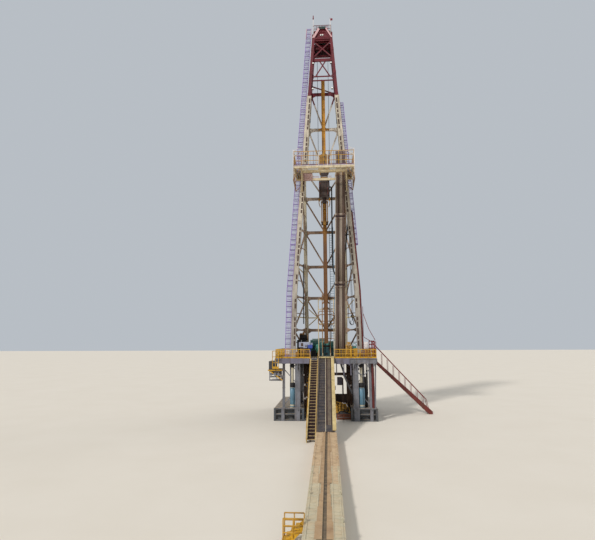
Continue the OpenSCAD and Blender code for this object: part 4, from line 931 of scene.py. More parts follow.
# Red top section and crown
for side in SIDES:
    for pt in (front_pt, rear_pt):
        p, q = pt(side, RED), pt(side, TOP)
        s.corner_bars(p, q, 0.026, 0.012, 0.088, 0.144)
    for z in (RED + 0.1, 24.4, 26.3):
        s.bar(front_pt(side, z - 0.12), front_pt(side, z + 0.12), 0.224, 0.304)
        for dz in (-0.07, 0.07):
            for dx in (-0.07, 0, 0.07):
                c = front_pt(side, z + dz) + Vector((dx, -0.152, 0))
                s.rod(c, c + Vector((0, -0.012, 0)), 0.012, 6)
    e = rear_pt(side, ARCH) - Vector((side * 0.1, 0, 0))
    s.plate(at(e, (0, -0.03, -0.1), (-side * 0.36, -0.03, -0.1), (-side * 0.1, -0.03, -0.24),
               (0, -0.03, -0.5)), 0.06)
    for z, reach in ((DEEP, 0.2), (TIE, 0.16)):
        e = front_pt(side, z) - Vector((side * 0.1, 0, 0))
        s.plate(at(e, (0, 0, -0.08), (-side * reach, 0, -0.08), (0, 0, -0.08 - reach)), 0.03)
        s.plate(at(e, (0, 0, 0.08), (-side * reach, 0, 0.08), (0, 0, 0.08 + reach)), 0.03)
s.done("top_plates", "mast_red", bevel=0.002)

# Dark red plate with ribs at the back of the top: painted shade inside the top section.
y = rear_pt(1, TOP).y
s.plate_y(y - 0.012, [(-0.64, BACK_BEAM + 0.1), (0.64, BACK_BEAM + 0.1), (0.58, 27.13),
                      (-0.58, 27.13)], 0.012)
s.ribs_x((-0.4, 0.0, 0.4), 0.02, y - 0.045, y - 0.015, BACK_BEAM + 0.1, 27.1)
s.done("rear_panel_painted_shade", "panel_dark", "mast_red", bevel=0.002)

for side, wide in ((-1, 0.19), (1, 0.11)):
    s.plate_y(-0.685, [(side * 0.765, TOP + 0.14), (side * (0.765 - wide), TOP + 0.14),
                       (side * (0.32 - wide), TOP + 0.93), (side * 0.3, TOP + 0.972)], 0.016)
s.done("gable_face_plates", "gable_pink", "mast_red", bevel=0.002)
for z in (TOP + 0.02, TOP + 0.13):
    s.box((-0.775, -0.69, z), (0.775, -0.674, z + 0.03))
s.ribs_x(spread(-0.7, 0.7, 9), 0.01, -0.69, -0.674, TOP + 0.04, TOP + 0.14)
for x in (-0.52, 0.52):
    s.bar((x, -0.62, TOP + 0.2), (0.0, -0.62, TOP + 0.84), 0.04, 0.04)
s.boxes(TOP, (-0.26, -0.64, 0.6, 0.26, -0.6, 0.63), (0.66, -0.675, 0.14, 0.765, -0.5, 0.58),
        (-0.765, -0.6, 0.14, -0.68, -0.5, 0.5))
for y in (-0.246, 0.246):
    for x in (-0.13, 0.13):
        s.plate_y(y - 0.03, [(x, TOP + 0.15), (x * 2.4, TOP + 0.15), (x, TOP + 0.52)], 0.016)
s.done("gable_stiffeners", "mast_red", bevel=0.002)

s.plate_y(-0.69, [(-0.2, TOP + 0.84), (0.2, TOP + 0.84), (0.29, TOP + 0.99), (0.26, TOP + 1.05),
                  (-0.26, TOP + 1.05), (-0.29, TOP + 0.99)], 0.02)
s.box((-0.26, -0.69, TOP + 0.985), (0.26, -0.5, TOP + 1.05))
s.ribs_x((-0.15, 0.0, 0.15), 0.01, -0.705, -0.69, TOP + 0.86, TOP + 1.03)
s.done("crown_hood", "sheave_green", "mast_red", bevel=0.004)

LAMPS = ((-0.7, -0.8, 25.14), (0.62, -0.8, 25.14), (-0.74, -0.8, 23.1), (0.68, -0.8, 23.1))
for x, y, z in LAMPS:
    s.rib_x(x, 0.055, y - 0.02, y + 0.03, z - 0.05, z + 0.05)
for x in (-0.11, 0.035):
    s.rod_y(-0.645, -0.62, x, TOP + 0.39, 0.055, 14)
s.box((-0.145, 0.33, 24.4), (-0.045, 0.37, 24.5))
s.done("mast_lamps", "lamp_glass", "beam_white", bevel=0.008)
for x, y, z in LAMPS:
    s.rib_x(x, 0.065, y + 0.005, y + 0.12, z - 0.06, z + 0.06)
for x in (-0.11, 0.035):
    s.rod_y(-0.63, -0.6, x, TOP + 0.39, 0.065, 14)
s.done("lamp_housings", "drive_dark", "mast_red", bevel=0.004)

cap = [math.radians(a) for a in range(20, 161, 10)]
for a, b in zip(cap, cap[1:]):
    p = Vector((math.cos(a) * 0.47, 0, SHEAVE_Z + math.sin(a) * 0.47))
    q = Vector((math.cos(b) * 0.47, 0, SHEAVE_Z + math.sin(b) * 0.47))
    s.plate([p + Vector((0, -0.24, 0)), p + Vector((0, 0.24, 0)), q + Vector((0, 0.24, 0)),
             q + Vector((0, -0.24, 0))], 0.012)
for y in (-0.29, 0.29):
    for side in SIDES:
        s.bar((side * 0.16, y, TOP + 0.15), (side * 0.42, y, SHEAVE_Z + 0.2), 0.03, 0.02)
        s.bar((side * 0.42, y, SHEAVE_Z + 0.2), (side * 0.42, y * 0.8, SHEAVE_Z + 0.2), 0.02, 0.02)
s.done("sheave_guard", "sheave_green", "mast_red")

for side in SIDES:
    x, y = side * WALK_X, side * WALK_Y
    handrail((x, -WALK_Y, WALK), (x, WALK_Y, WALK), RAIL_H, 4, mesh=0.12, tube=0.015)
    handrail((-WALK_X, y, WALK), (WALK_X, y, WALK), RAIL_H, 6, mesh=0.12, tube=0.015)
    for y in (-0.4, 0.4):
        s.bar((side * WALK_X, y, TOP + 0.16), (side * WALK_X, -y, WALK - 0.04), 0.03, 0.03)
for x in spread(-0.66, 0.66, 18):
    for y0, y1 in ((-0.44, -0.36), (0.36, 0.44)):
        s.rib_x(x, 0.005, y0, y1, WALK, WALK + 0.008)
s.done("crown_rails", "mast_red")
s.post(-0.66, -0.6, 28.9, 29.18, 0.05, 14, 0.034)
s.ball((-0.66, -0.6, 29.18), 0.036)
s.box((0.61, -0.615, 28.74), (0.79, -0.585, 28.9))
s.done("beacons", "beacon_red", "mast_red")
for x in (-0.66, 0.61):
    s.post(x, -0.6, TOP + 0.2, 28.9, 0.0225, 10)
    s.ring((x, -0.6, 28.3), ALONG_Z, 0.035, 0.01, 12)
s.done("beacon_posts", "plate_white", "mast_red")

# Guide rail
GUIDE_LOW, GUIDE_HIGH = 4.65, 24.4
for x in (-0.135, 0.135):
    s.bar_z(x * 0.86, 0.292, GUIDE_LOW, GUIDE_HIGH, 0.03, 0.016)
for z in spread(GUIDE_LOW + 0.3, GUIDE_HIGH - 0.3, 26):
    s.box((-0.12, 0.29, z - 0.03), (0.12, 0.3, z + 0.03))
    s.bolts([(x, 0.29, z) for x in (-0.09, 0.09)], (0, -1, 0), 0.01, 0.012)
for z in LEVELS:
    for side in SIDES:
        s.bar((side * 0.12, 0.48, z - 0.02), (side * 0.42, rear_pt(1, z).y - 0.06, z - 0.02), 0.05,
              0.05)
s.done("guide_strips", "guide_orange", bevel=0.002)

# Racking board
BOARD_TOP, BOARD_X, BOARD_FRONT = BOARD + 0.08, 1.964, -3.224
BOARD_ROWS = (0.35, 0.7, 1.0)
handrail((-BOARD_X, BOARD_FRONT, BOARD_TOP), (BOARD_X, BOARD_FRONT, BOARD_TOP), 1.0, 12,
         rows=BOARD_ROWS, toe=0.1, mesh=0.16)
for side in SIDES:
    x = side * BOARD_X
    handrail((x, BOARD_FRONT, BOARD_TOP), (x, -0.84, BOARD_TOP), 1.0, 7, rows=BOARD_ROWS, toe=0.1,
             mesh=0.16)
s.done("board_rails", "rail_mauve", "rail_yellow")
for side in SIDES:
    for y in (-3.25, -2.2, -0.86):
        s.post(side * 2.0, y, BOARD - 0.85, BOARD + 1.2, 0.022, 8)
    s.bar((side * 1.98, -3.25, BOARD + 1.12), (side * 1.62, -3.25, BOARD + 1.3), 0.03, 0.03)
s.box((-1.95, -3.27, BOARD + 0.04), (1.95, -3.25, BOARD + 0.075))
s.done("board_posts", "plate_white", "board_cream")
for side in SIDES:
    x = side * 2.0
    for z in (BOARD - 0.85, BOARD - 0.45):
        s.bar((x, -3.25, z), (x, -0.86, z), 0.045, 0.045)
    for y0, y1 in ((-3.25, -2.2), (-2.2, -0.86)):
        for a, b in ((y0, y1), (y1, y0)):
            s.bar((x, a, BOARD - 0.85), (x, b, BOARD - 0.08), 0.035, 0.035)
    s.bar((x, -3.25, BOARD - 0.85), (side * 1.52, -3.22, BOARD - 0.08), 0.04, 0.04)
    s.bar((x, -0.86, BOARD - 0.85), (side * 1.72, -0.84, BOARD - 0.55), 0.04, 0.04)
s.done("board_hangers", "hanger_brown", "board_cream", bevel=0.002)

# Racked pipes: their lean, the distance between them and the foot of the first
LEAN_ANGLE, PITCH, FIRST_X, FIRST_Y = math.radians(1.1), 0.098, 0.585, -1.25
LEAN = Vector((math.sin(LEAN_ANGLE), 0, math.cos(LEAN_ANGLE)))


def pipe(foot, a, b, r, sides=16, r2=None):
    """Stretch of a racked pipe, from a to b along it."""
    s.rod(foot + LEAN * a, foot + LEAN * b, r, sides, r2)


def stand_foot(i, j):
    """Foot of the pipe in column i and row j."""
    return Vector((FIRST_X + i * PITCH, FIRST_Y - j * PITCH, 3.811))


def stand_lengths(cells, paint, name):
    """Thin coat of another tint on whole lengths of some racked pipes."""
    joint, tube = 0.0455, 0.0375
    for i, j in cells:
        foot = stand_foot(i, j)
        for a, b, r in ((4.45, 4.62, joint), (4.72, 4.88, joint), (4.88, 9.11, tube),
                        (9.12, 9.28, joint), (9.38, 9.55, joint), (9.55, 13.77, tube)):
            pipe(foot, a, b, r)
        pipe(foot, 0.02, 4.44, joint, r2=tube)
    s.done(name, paint, "pipe_brown")


for k in range(6):
    foot = Vector((FIRST_X + (k + 0.5) * PITCH, -1.19, FLOOR + 0.062))
    s.rod(foot, foot + LEAN * 13.9, 0.031, 14)
    for share in (0.333, 0.667, 0.985):
        pipe(foot, 14.0 * share - 0.15, 14.0 * share + 0.05, 0.036, 14)
s.done("pipe_stands_rear_row", "pocket_brown", "pipe_brown")
stand_lengths([(0, 4), (3, 4), (4, 4), (2, 0), (5, 1), (6, 2), (0, 1), (0, 3)], "pipe_pale",
              "pale_pipe_lengths")
for i, j in [(k, 4) for k in range(7)] + [(6, k) for k in range(4)]:
    for a in (4.61, 9.27):
        pipe(stand_foot(i, j), a, a + 0.12, 0.0465)
s.done("tool_joint_bands", "panel_dark", "pipe_brown")
stand_lengths([(2, 4), (6, 4), (6, 3), (0, 2), (3, 0)], "pocket_brown", "dark_pipe_lengths")
for side in SIDES:
    s.ribs_y(spread(-2.3, -0.9, 30), 0.005, side * 1.54, side * 1.93, BOARD_TOP - 0.004,
             BOARD_TOP + 0.008)
s.ribs_x(spread(-1.93, 1.93, 66), 0.005, -3.17, -2.4, BOARD_TOP - 0.004, BOARD_TOP + 0.008)
s.done("board_grating", "tread_grating", "board_cream")
for side in SIDES:
    for y, dz, h in ((-0.95, 0.0, 0.26), (-1.35, 0.0, 0.18)):
        s.rib_y(y, 0.12, side * 1.62, side * 1.86, BOARD_TOP + dz, BOARD_TOP + dz + h)
    s.rod_y(-1.1, -0.8, side * 1.74, BOARD_TOP + 0.32, 0.07, 16)
s.done("board_winches", "hanger_brown", "board_cream", bevel=0.006)
s.ribs_y((-2.27, -0.8), 0.012, -1.45, 1.45, BOARD - 0.05, BOARD + 0.05)
s.ribs_x(spread(-1.4, 1.4, 15), 0.01, -2.31, -2.27, BOARD - 0.085, BOARD + 0.06)
s.done("board_beam_dark", "pocket_brown", "board_cream")
FINGERS_UP = 12.29  # from the pipes' feet to the board's fingers
first = FIRST_X + math.tan(LEAN_ANGLE) * FINGERS_UP - PITCH / 2
for side in SIDES:
    for k in range(7):
        x = side * (first + k * PITCH)
        for j in range(5):
            y = FIRST_Y - j * PITCH + PITCH / 2
            s.pad(x, y, 0.013, 0.01, BOARD + 0.016, BOARD + 0.07)
        s.ball((x, -2.27, BOARD + 0.03), 0.02, 8)
s.done("finger_latches", "rail_yellow", bevel=0.002)

s.ribs_y(spread(-2.2, -0.92, 12), 0.01, -1.44, -0.8, BOARD - 0.08, BOARD - 0.035)
for x0, x1 in ((-1.4, -0.36), (0.3, 0.52)):
    for z in (BOARD - 0.1, BOARD + 0.06, BOARD + 0.22):
        s.box((x0, -0.858, z), (x1, -0.84, z + 0.02))
    for k in range(int((x1 - x0) / 0.06) + 1):
        s.box((x0 + 0.06 * k, -0.856, BOARD - 0.1), (x0 + 0.06 * k + 0.022, -0.842, BOARD + 0.23))
s.done("board_finger_mesh", "finger_mauve", "board_cream")
for side in SIDES:
    s.bar_z(side * 1.985, -3.225, BOARD - 0.72, BOARD + 1.0, 0.05, 0.04)
    s.bar((side * 1.97, -3.225, BOARD + 0.75), (side * 1.55, -3.225, BOARD + 1.03), 0.04, 0.03)
for x, top in ((-0.34, 1.02), (0.24, 1.05)):
    s.bar_z(x, -3.225, BOARD, BOARD + top, 0.05, 0.03)
s.done("board_pale_posts", "beam_white", "board_cream", bevel=0.002)

# Ladders, with the distances between their rungs, hoops and front bars
RUNG_GAP, HOOP_GAP, BAR_GAP = 0.15, 0.42, 0.36
for word, side, z0, z1, gap, width in (("left", -1, FLOOR + 0.1, TOP + 0.9, 0.07, 0.34),
                                       ("right", 1, 11.4, 22.0, 0.03, 0.23)):
    def beside(z, dx, dy):
        p = front_pt(side, z)
        return Vector((p.x + side * (0.15 + dx), p.y + dy, z))

    for z in spread(z0, z1, int((z1 - z0) / RUNG_GAP) + 1):
        s.rod(beside(z, gap, 0), beside(z, gap + width, 0), 0.009, 6)
    for z in spread(z0, z1, int((z1 - z0) / HOOP_GAP) + 1):
        arc = [beside(z, gap, 0)]
        for a in range(0, 181, 30):
            t = math.radians(a)
            arc.append(beside(z, gap + width / 2 - math.cos(t) * width / 2, 0.17 + math.sin(t) * 0.15))
        arc.append(beside(z, gap + width, 0))
        s.tube(arc, 0.009, 5)
    for z_low, z_high in ((z0, min(max(z0, BEND), z1)), (max(z0, BEND), z1)):
        if z_high - z_low > 0.1:
            for dx, dy in ((gap + width * 0.25, 0.31), (gap + width * 0.75, 0.31),
                           (gap + width / 2, 0.33), (gap, 0.17), (gap + width, 0.17)):
                s.rod(beside(z_low, dx, dy), beside(z_high, dx, dy), 0.008, 5)
    s.done(f"ladder_cage_{word}", "ladder_plum")
    for z in spread(z0 + 0.05, z1 - 0.05, int((z1 - z0) / BAR_GAP) + 1):
        s.bar(beside(z, gap - 0.01, -0.012), beside(z, gap + width + 0.01, -0.012), 0.03, 0.03)
        s.tube([beside(z, gap, 0.31), beside(z, gap + width / 2, 0.335), beside(z, gap + width, 0.31)],
               0.014, 5)
    s.done(f"ladder_rungs_{word}", "rung_purple", "ladder_plum")
for dx in (0.06, 0.42):
    foot, head = (front_pt(-1, z) - Vector((0.15 + dx, 0.03, 0)) for z in (27.25, TOP + 0.95))
    s.bar(foot, head, 0.03, 0.02)
s.done("ladder_top_posts", "gable_pink", "ladder_plum")

# Gear inside the lower mast
for x in (0.36, 0.63):
    s.bar((x, 0.78, 4.9), (x - 0.05, 0.7, 13.0), 0.035, 0.03)
for z in spread(5.0, 12.9, 46):
    shift = -0.05 * (z - 4.9) / 8.1
    y = lerp(0.78, 0.7, (z - 4.9) / 8.1)
    s.rod_x(0.36 + shift, 0.63 + shift, y, z, 0.013, 6)
s.done("inner_ladder", "sleeve_blue", "ladder_plum")

for side in SIDES:
    x0, x1 = side * 0.06, side * 0.55
    for z0, z1 in ((5.95, 6.9), (6.2, 6.66)):
        r = 0.12
        loop = [(x0, z0), (x1 - side * r, z0), (x1, z0 + r), (x1, z1 - r), (x1 - side * r, z1),
                (x0, z1)]
        s.tube([(x, 0.6, z) for x, z in loop], 0.028, 8)
    s.bar_z(side * 0.26, 0.6, 4.0, 8.1, 0.05, 0.05)
    for z0, x1, z1, wide in ((7.85, 0.24, 8.0, 0.09), (7.62, 0.26, 7.42, 0.09),
                             (7.25, 0.2, 7.05, 0.07)):
        s.bar((side * 0.05, 0.56, z0), (side * x1, 0.56, z1), wide, 0.03)
    s.bar_z(side * 0.14, 0.5, 7.45, 7.95, 0.05, 0.05)
for z in (5.5, 5.0):
    s.bar_x(-0.5, 0.5, 0.6, z, 0.04, 0.04)
s.done("guide_foot_loops", "hanger_brown", "board_cream", bevel=0.002)

for a, b in (((-1.85, -0.3, 9.85), (-1.45, 0.5, 9.5)), ((-1.9, -0.3, 7.7), (-1.45, 0.5, 7.25)),
             ((-1.22, 0.88, 7.05), (-0.62, 0.88, 6.5)), ((-1.22, 0.88, 5.92), (-0.62, 0.88, 6.45)),
             ((1.3, 0.88, 6.9), (0.9, 0.88, 6.45)), ((1.9, -0.3, 7.6), (1.45, 0.5, 7.05))):
    s.bar(a, b, 0.06, 0.06)
s.bar_x(-1.3, -0.55, 0.88, 6.45, 0.07, 0.07)
s.bar_x(1.3, 0.55, 0.88, 6.37, 0.07, 0.07)
for side in SIDES:
    s.bar((side * 2.02, -0.6, 6.45), (side * 1.45, 0.7, 6.45), 0.06, 0.06)
s.done("knee_braces", "stair_yellow", "beam_white", bevel=0.002)

s.post(-1.55, 0.1, 6.0, 10.2, 0.035, 10)
s.rod((1.78, 0.0, 6.62), (1.7, 0.0, 12.2), 0.014, 8)
s.rod((1.86, 0.0, 6.62), (1.74, 0.0, 12.2), 0.014, 8)
s.tube([(1.5, 0.3, 12.4), (1.52, 0.3, 9.5), (1.56, 0.3, 6.5), (1.62, 0.25, 6.05), (1.74, 0.2, 5.9)],
       0.02, 8)
s.tube([(1.7, 0.0, 6.2), (1.66, 0.0, 6.05), (1.74, 0.0, 5.92), (1.84, 0.0, 5.92), (1.9, 0.0, 6.05),
        (1.88, 0.0, 6.2)], 0.022, 8)
s.bar((1.45, 0.2, 12.25), (1.85, -0.4, 12.25), 0.06, 0.06)
s.ring((1.82, 0.0, 6.5), ALONG_Y, 0.09, 0.035, 20, 8)
s.rod_y(-0.03, 0.03, 1.82, 6.5, 0.07, 18)
s.post(1.82, 0.0, 6.2, 6.42, 0.03, 10)
for side, z in ((-1, 20.66), (1, 20.52)):
    c = front_pt(side, z) - Vector((side * 0.17, 0.02, 0))
    s.box(c - Vector((0.05, 0.1, 0.12)), c + Vector((0.05, 0.1, 0.12)))
s.done("mast_cables", "rubber_black", "wire_rope")

HOSE = [(0.4, 0.0, 15.82), (0.47, 0.0, 15.8), (0.52, 0.0, 15.7), (0.525, 0.0, 15.2),
        (0.52, 0.02, 14.0), (0.515, 0.04, 12.5), (0.51, 0.05, 11.2), (0.51, 0.06, 10.4),
        (0.53, 0.06, 9.95), (0.61, 0.05, 9.58), (0.75, 0.04, 9.36), (0.92, 0.02, 9.35),
        (1.08, 0.0, 9.5), (1.2, -0.03, 9.8), (1.3, -0.08, 10.3), (1.42, -0.16, 11.2),
        (1.53, -0.26, 12.1), (1.61, -0.34, 12.9), (1.66, -0.4, 13.4), (1.72, -0.47, 13.72),
        (1.8, -0.56, 13.84), (1.88, -0.66, 13.8), (1.905, -0.7, 13.66)]


def smooth(points, steps=5):
    """Points on a rounded line through the given ones."""
    pts = [Vector(p) for p in points]
    pts = [2 * pts[0] - pts[1]] + pts + [2 * pts[-1] - pts[-2]]
    line = []
    for a, b, c, d in zip(pts, pts[1:], pts[2:], pts[3:]):
        for k in range(steps):
            t = k / steps
            line.append(0.5 * (2 * b + (c - a) * t + (2 * a - 5 * b + 4 * c - d) * t * t
                               + (3 * b - a - 3 * c + d) * t ** 3))
    return line + [pts[-2]]


hose_line = smooth(HOSE)
hose_length = sum((b - a).length for a, b in zip(hose_line, hose_line[1:]))
s.tube(hose_line, 0.048, 12)
hose = s.done("rotary_hose", "rubber_black", "wire_rope", None)
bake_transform(hose)
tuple(hose_line[0])
LINES_LOW, LINES_HIGH = BLOCK_Z, SHEAVE_Z
for side in SIDES:
    for k in range(5):
        s.post(side * 0.403, 0.084 * (k - 2), LINES_LOW, LINES_HIGH, 0.012, 12)
ropes = s.done("drill_line_ropes", "wire_rope", body=None)
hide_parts("drill_lines")
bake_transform(ropes)
s.rod((0.36, 0.0, 15.82), (0.44, 0.0, 15.815), 0.062, 14)
s.rod_x(0.335, 0.36, 0.0, 15.82, 0.09, 16)
s.done("hose_union_drive", "worn_steel", body="travelling")
s.post(1.905, -0.7, 13.5, 13.7, 0.064, 14)
s.done("hose_union_standpipe", "pipe_red")

# Equipment on the drill floor beside the stairs and the stands
s.boxes(FLOOR, (-1.8, -1.34, 0.66, -1.1, -0.9, 1.0), (-1.5, -1.42, 0.6, -1.25, -1.34, 0.86),
        (-1.02, -1.2, 0.8, -0.9, -1.0, 0.95))
s.done("driller_console", "console_grey", "column_grey", bevel=0.012)
s.boxes(FLOOR, (-1.72, -1.28, 0.008, -1.2, -0.96, 0.66), (-1.66, -1.355, 0.74, -1.52, -1.34, 0.94),
        (-1.36, -1.43, 0.68, -1.3, -1.42, 0.8))
for x in (-1.6, -1.4, -1.2):
    s.post(x, -1.5, FLOOR, FLOOR + 0.5, 0.035, 10)
s.done("console_plinth", "pocket_brown", "column_grey", bevel=0.006)
s.post(-1.62, -2.2, FLOOR, FLOOR + 0.58, 0.05, 12)
s.post(-1.45, -2.15, FLOOR, FLOOR + 0.5, 0.07, 12)
s.tube([(-1.62, -2.2, FLOOR + 0.5), (-1.3, -2.2, FLOOR + 0.44), (-1.2, -2.2, FLOOR + 0.2),
        (-1.0, -2.2, FLOOR + 0.16)], 0.035, 8)
s.box((-1.95, -2.3, FLOOR + 0.01), (-1.75, -2.1, FLOOR + 0.4))
s.done("floor_valves_orange", "hanger_brown", "rail_yellow", bevel=0.004)
s.boxes(FLOOR, (-1.2, -1.5, 0.6, -0.9, -1.2, 0.82), (-1.12, -1.4, 0, -1.02, -1.3, 0.6))
s.done("blue_tool_box", "box_blue", "column_grey", bevel=0.008)
s.rod_x(-1.82, -1.3, 0.2, 5.08, 0.2, 24)
s.box((-1.7, 0.05, FLOOR + 0.008), (-1.4, 0.35, 4.95))
s.box((-1.98, -0.45, FLOOR + 0.008), (-1.7, -0.2, 4.9))
s.done("hoist_winch_black", "rubber_black", "drive_dark", bevel=0.01)
s.rod_x(-1.85, -1.82, 0.2, 5.08, 0.235, 24)
s.rod_x(-1.3, -1.27, 0.2, 5.08, 0.235, 24)
s.boxes(0, (-1.82, 0.0, 5.26, -1.5, 0.4, 5.36), (-1.62, 0.02, 5.36, -1.45, 0.3, 5.45))
s.done("hoist_winch_flanges", "hanger_brown", "board_cream", bevel=0.006)
for x, y, r, h in ((1.28, -2.35, 0.07, 0.75), (1.42, -2.3, 0.05, 0.9), (1.55, -2.4, 0.08, 0.65)):
    s.post(x, y, FLOOR, FLOOR + h, r, 14)
    s.ball((x, y, FLOOR + h), r * 1.3, 10)
s.tube([(1.28, -2.35, FLOOR + 0.8), (1.35, -2.3, FLOOR + 0.98), (1.5, -2.3, FLOOR + 0.95),
        (1.55, -2.4, FLOOR + 0.7)], 0.03, 8)
s.boxes(FLOOR, (1.7, -2.6, 0.14, 1.94, -2.4, 0.6), (1.74, -2.58, 0, 1.9, -2.42, 0.14))
s.done("yellow_winch", "valve_yellow", "rail_yellow", bevel=0.01)
s.post(1.78, -2.2, FLOOR, FLOOR + 0.72, 0.06, 14)
s.ring((1.78, -2.2, FLOOR + 0.78), ALONG_Y, 0.12, 0.02, 20, 8)
s.box((1.66, -2.28, FLOOR + 0.45), (1.9, -2.12, FLOOR + 0.68))
s.done("teal_valve", "valve_teal", "winch_teal", bevel=0.006)
s.boxes(FLOOR, (2.4, -2.0, 0.56, 2.66, -1.7, 1.0), (2.44, -2.04, 0.62, 2.62, -2.0, 0.9))
s.done("pale_cabinet", "plate_white", "column_grey", bevel=0.01)
s.box((2.42, -1.98, FLOOR + 0.008), (2.64, -1.72, FLOOR + 0.56))
s.post(2.25, -2.3, FLOOR, FLOOR + 0.42, 0.05, 12)
s.post(2.1, -2.35, FLOOR, FLOOR + 0.34, 0.06, 12)
s.box((2.02, -2.2, FLOOR + 0.01), (2.2, -2.0, FLOOR + 0.3))
s.done("cabinet_plinth", "rusty_brown", "column_grey", bevel=0.006)
for z in (0.2, 0.42, 0.62, 0.84, 1.04):
    s.bar_x(2.66, 2.98, -2.66, FLOOR + z, 0.06, 0.04)
for x in (2.66, 2.82, 2.98):
    s.bar_z(x, -2.66, FLOOR, FLOOR + 1.08, 0.045, 0.04)
s.tube([(2.49, -0.8, 6.6), (2.75, -1.6, 5.6), (3.05, -2.6, 4.85)], 0.02, 8)
s.tube([(2.47, -0.75, 7.1), (2.47, -0.75, 5.2), (2.52, -0.75, 5.05), (3.02, -1.6, 4.7)], 0.018, 8)
s.tube([(3.07, -2.7, FLOOR), (3.07, -2.7, FLOOR + 1.0), (3.07, 0.15, FLOOR + 1.0),
        (3.07, 0.15, FLOOR)], 0.02, 8)
for y in spread(-2.1, 0.0, 5):
    s.post(3.07, y, FLOOR, FLOOR + 1.0, 0.014, 8)
for y in (0.27, 0.73):
    s.tube([(3.1, y, FLOOR + 0.9), (3.2, y, FLOOR + 0.9), (6.6, y, 0.95), (6.75, y, 0.2)], 0.02, 8)
    for x, z in zip(middles(3.2, 6.6, 9), middles(FLOOR, 0.1, 9)):
        s.post(x, y, z, z + 0.8, 0.014, 8)
s.done("outer_stair_rails", "handrail_red", "stair_red")

# Pipework, valves and boxes under the floor
for side in SIDES:
    for x0, x1 in ((1.65, 1.98), (2.6, 2.8)):
        s.box((side * x0, -2.78, 0), (side * x1, -2.76, BASE_H))
    s.box((side * 1.62, -2.8, 0.72), (side * 3.0, -2.76, 0.76))
for x in (1.62, 2.86):
    s.plate_y(FRONT - 0.03, [(x, UNDER), (x + 0.14, UNDER), (x, UNDER - 0.3)], 0.03)
s.ring((2.24, FRONT - 0.03, 3.1), ALONG_Y, 0.36, 0.04, 20, 6, (150, 390))
s.done("column_face_plates", "column_grey", bevel=0.004)
s.box((0.6, FRONT - 0.04, UNDER - 0.03), (1.42, FRONT - 0.015, FLOOR - 0.02))
s.ribs_x((0.62, 1.0, 1.4), 0.03, FRONT - 0.055, FRONT - 0.04, UNDER - 0.1, FLOOR - 0.02)
s.ribs_x((0.62, 1.07, 1.5), 0.03, FRONT + 0.02, FRONT + 0.07, 2.72, UNDER)
s.box((0.69, -0.2, 1.9), (1.02, 0.1, 2.42))
s.box((-2.9, FRONT - 0.045, UNDER), (-1.05, FRONT - 0.02, FLOOR - 0.02))
s.done("fascia_panels", "fascia_grey", "column_grey", bevel=0.004)
s.bar((1.06, -2.0, 2.72), (1.6, -2.0, 1.53), 0.1, 0.08)
s.bar((-1.05, -1.0, 2.75), (-1.5, -1.0, 1.6), 0.1, 0.08)
s.bar((2.93, -2.68, 0.75), (3.02, -2.68, 3.7), 0.08, 0.08)
s.post(-0.95, -1.4, 0.0, 3.4, 0.05, 12)
s.done("pale_struts", "column_grey", bevel=0.004)
s.bar_x(0.5, 1.62, -0.9, 2.68, 0.18, 0.12)
s.bar_x(-1.62, -0.3, -0.9, 2.62, 0.12, 0.12)
s.bar((1.06, -0.6, 0.3), (1.04, -0.6, 2.4), 0.09, 0.09)
for k in range(9):
    x = 1.34 + (k % 3) * 0.12
    y = -1.3 + (k // 3) * 0.45
    s.rod((x, y, 0.3 + 0.1 * (k % 4)), (x, y, UNDER), 0.045, 10)
for k in range(10):
    x = -1.42 + (k % 4) * 0.13
    y = -1.9 + (k // 4) * 0.5
    s.rod((x, y, 0.2 + 0.12 * (k % 5)), (x, y, UNDER - 0.05 * (k % 3)), 0.04, 10)
for k in range(7):
    z = 0.5 + 0.42 * k
    s.rod((-1.45, -1.95 + 0.1 * k, z), (-1.0 + 0.1 * (k % 3), -1.95 + 0.1 * k, z + 0.05), 0.035, 8)
    s.rod((1.3, -1.35 + 0.1 * k, z), (1.62, -1.35 + 0.1 * k, z - 0.05), 0.035, 8)
s.box((-1.44, 1.5, 0.3), (1.49, 1.62, 1.15))
s.boxes(UNDER, (1.3, -0.8, -0.9, 1.6, -0.4, 0), (-1.44, -1.05, -0.7, -1.1, -0.5, 0))
s.done("cellar_pipes_dark", "pocket_brown", "stack_brown")
for k in range(14):
    x, y = 0.62 + (k % 5) * 0.2, -1.55 + (k // 5) * 0.3
    z = 0.34 + 0.11 * (k % 4)
    s.rod((x - 0.08, y, z), (x + 0.1, y, z + 0.03), 0.055, 12)
    s.post(x, y, z, z + 0.2, 0.032, 10)
    s.ring((x, y, z + 0.22), ALONG_Z, 0.06, 0.012, 14, 6)
for k in range(5):
    x, z = -1.3 + 0.07 * k, 2.0 + 0.22 * k
    s.ball((x, -1.98, z), 0.055, 8)
s.tube([(0.58, -1.6, 1.0), (0.9, -1.65, 0.92), (1.2, -1.6, 0.8), (1.45, -1.6, 0.55)], 0.03, 8)
s.done("cellar_valves", "valve_yellow", "stack_brown")
for z in (0.05, 0.16, 0.28):
    s.box((0.6, -2.2, z), (1.46, -2.12, z + 0.06))
s.box((0.6, -2.12, 0.0), (1.46, -1.7, 0.05))
s.ribs_x((0.63, 1.03, 1.43), 0.03, -2.21, -2.12, 0.0, 0.36)
s.rod_x(0.6, 1.46, -1.9, 0.2, 0.08, 14)
s.done("cellar_tray", "rusty_brown", "stack_brown", bevel=0.003)
s.tube(smooth([(0.75, -2.1, 0.4), (0.85, -2.0, 0.46), (1.05, -1.95, 0.44), (1.25, -2.0, 0.4),
               (1.42, -2.1, 0.34)]), 0.03, 8)
for side in SIDES:
    s.tube(smooth([(side * 2.02, -2.7, 0.15), (side * 2.2, -2.7, 0.3), (side * 2.35, -2.7, 0.34),
                   (side * 2.55, -2.7, 0.2)]), 0.035, 8)
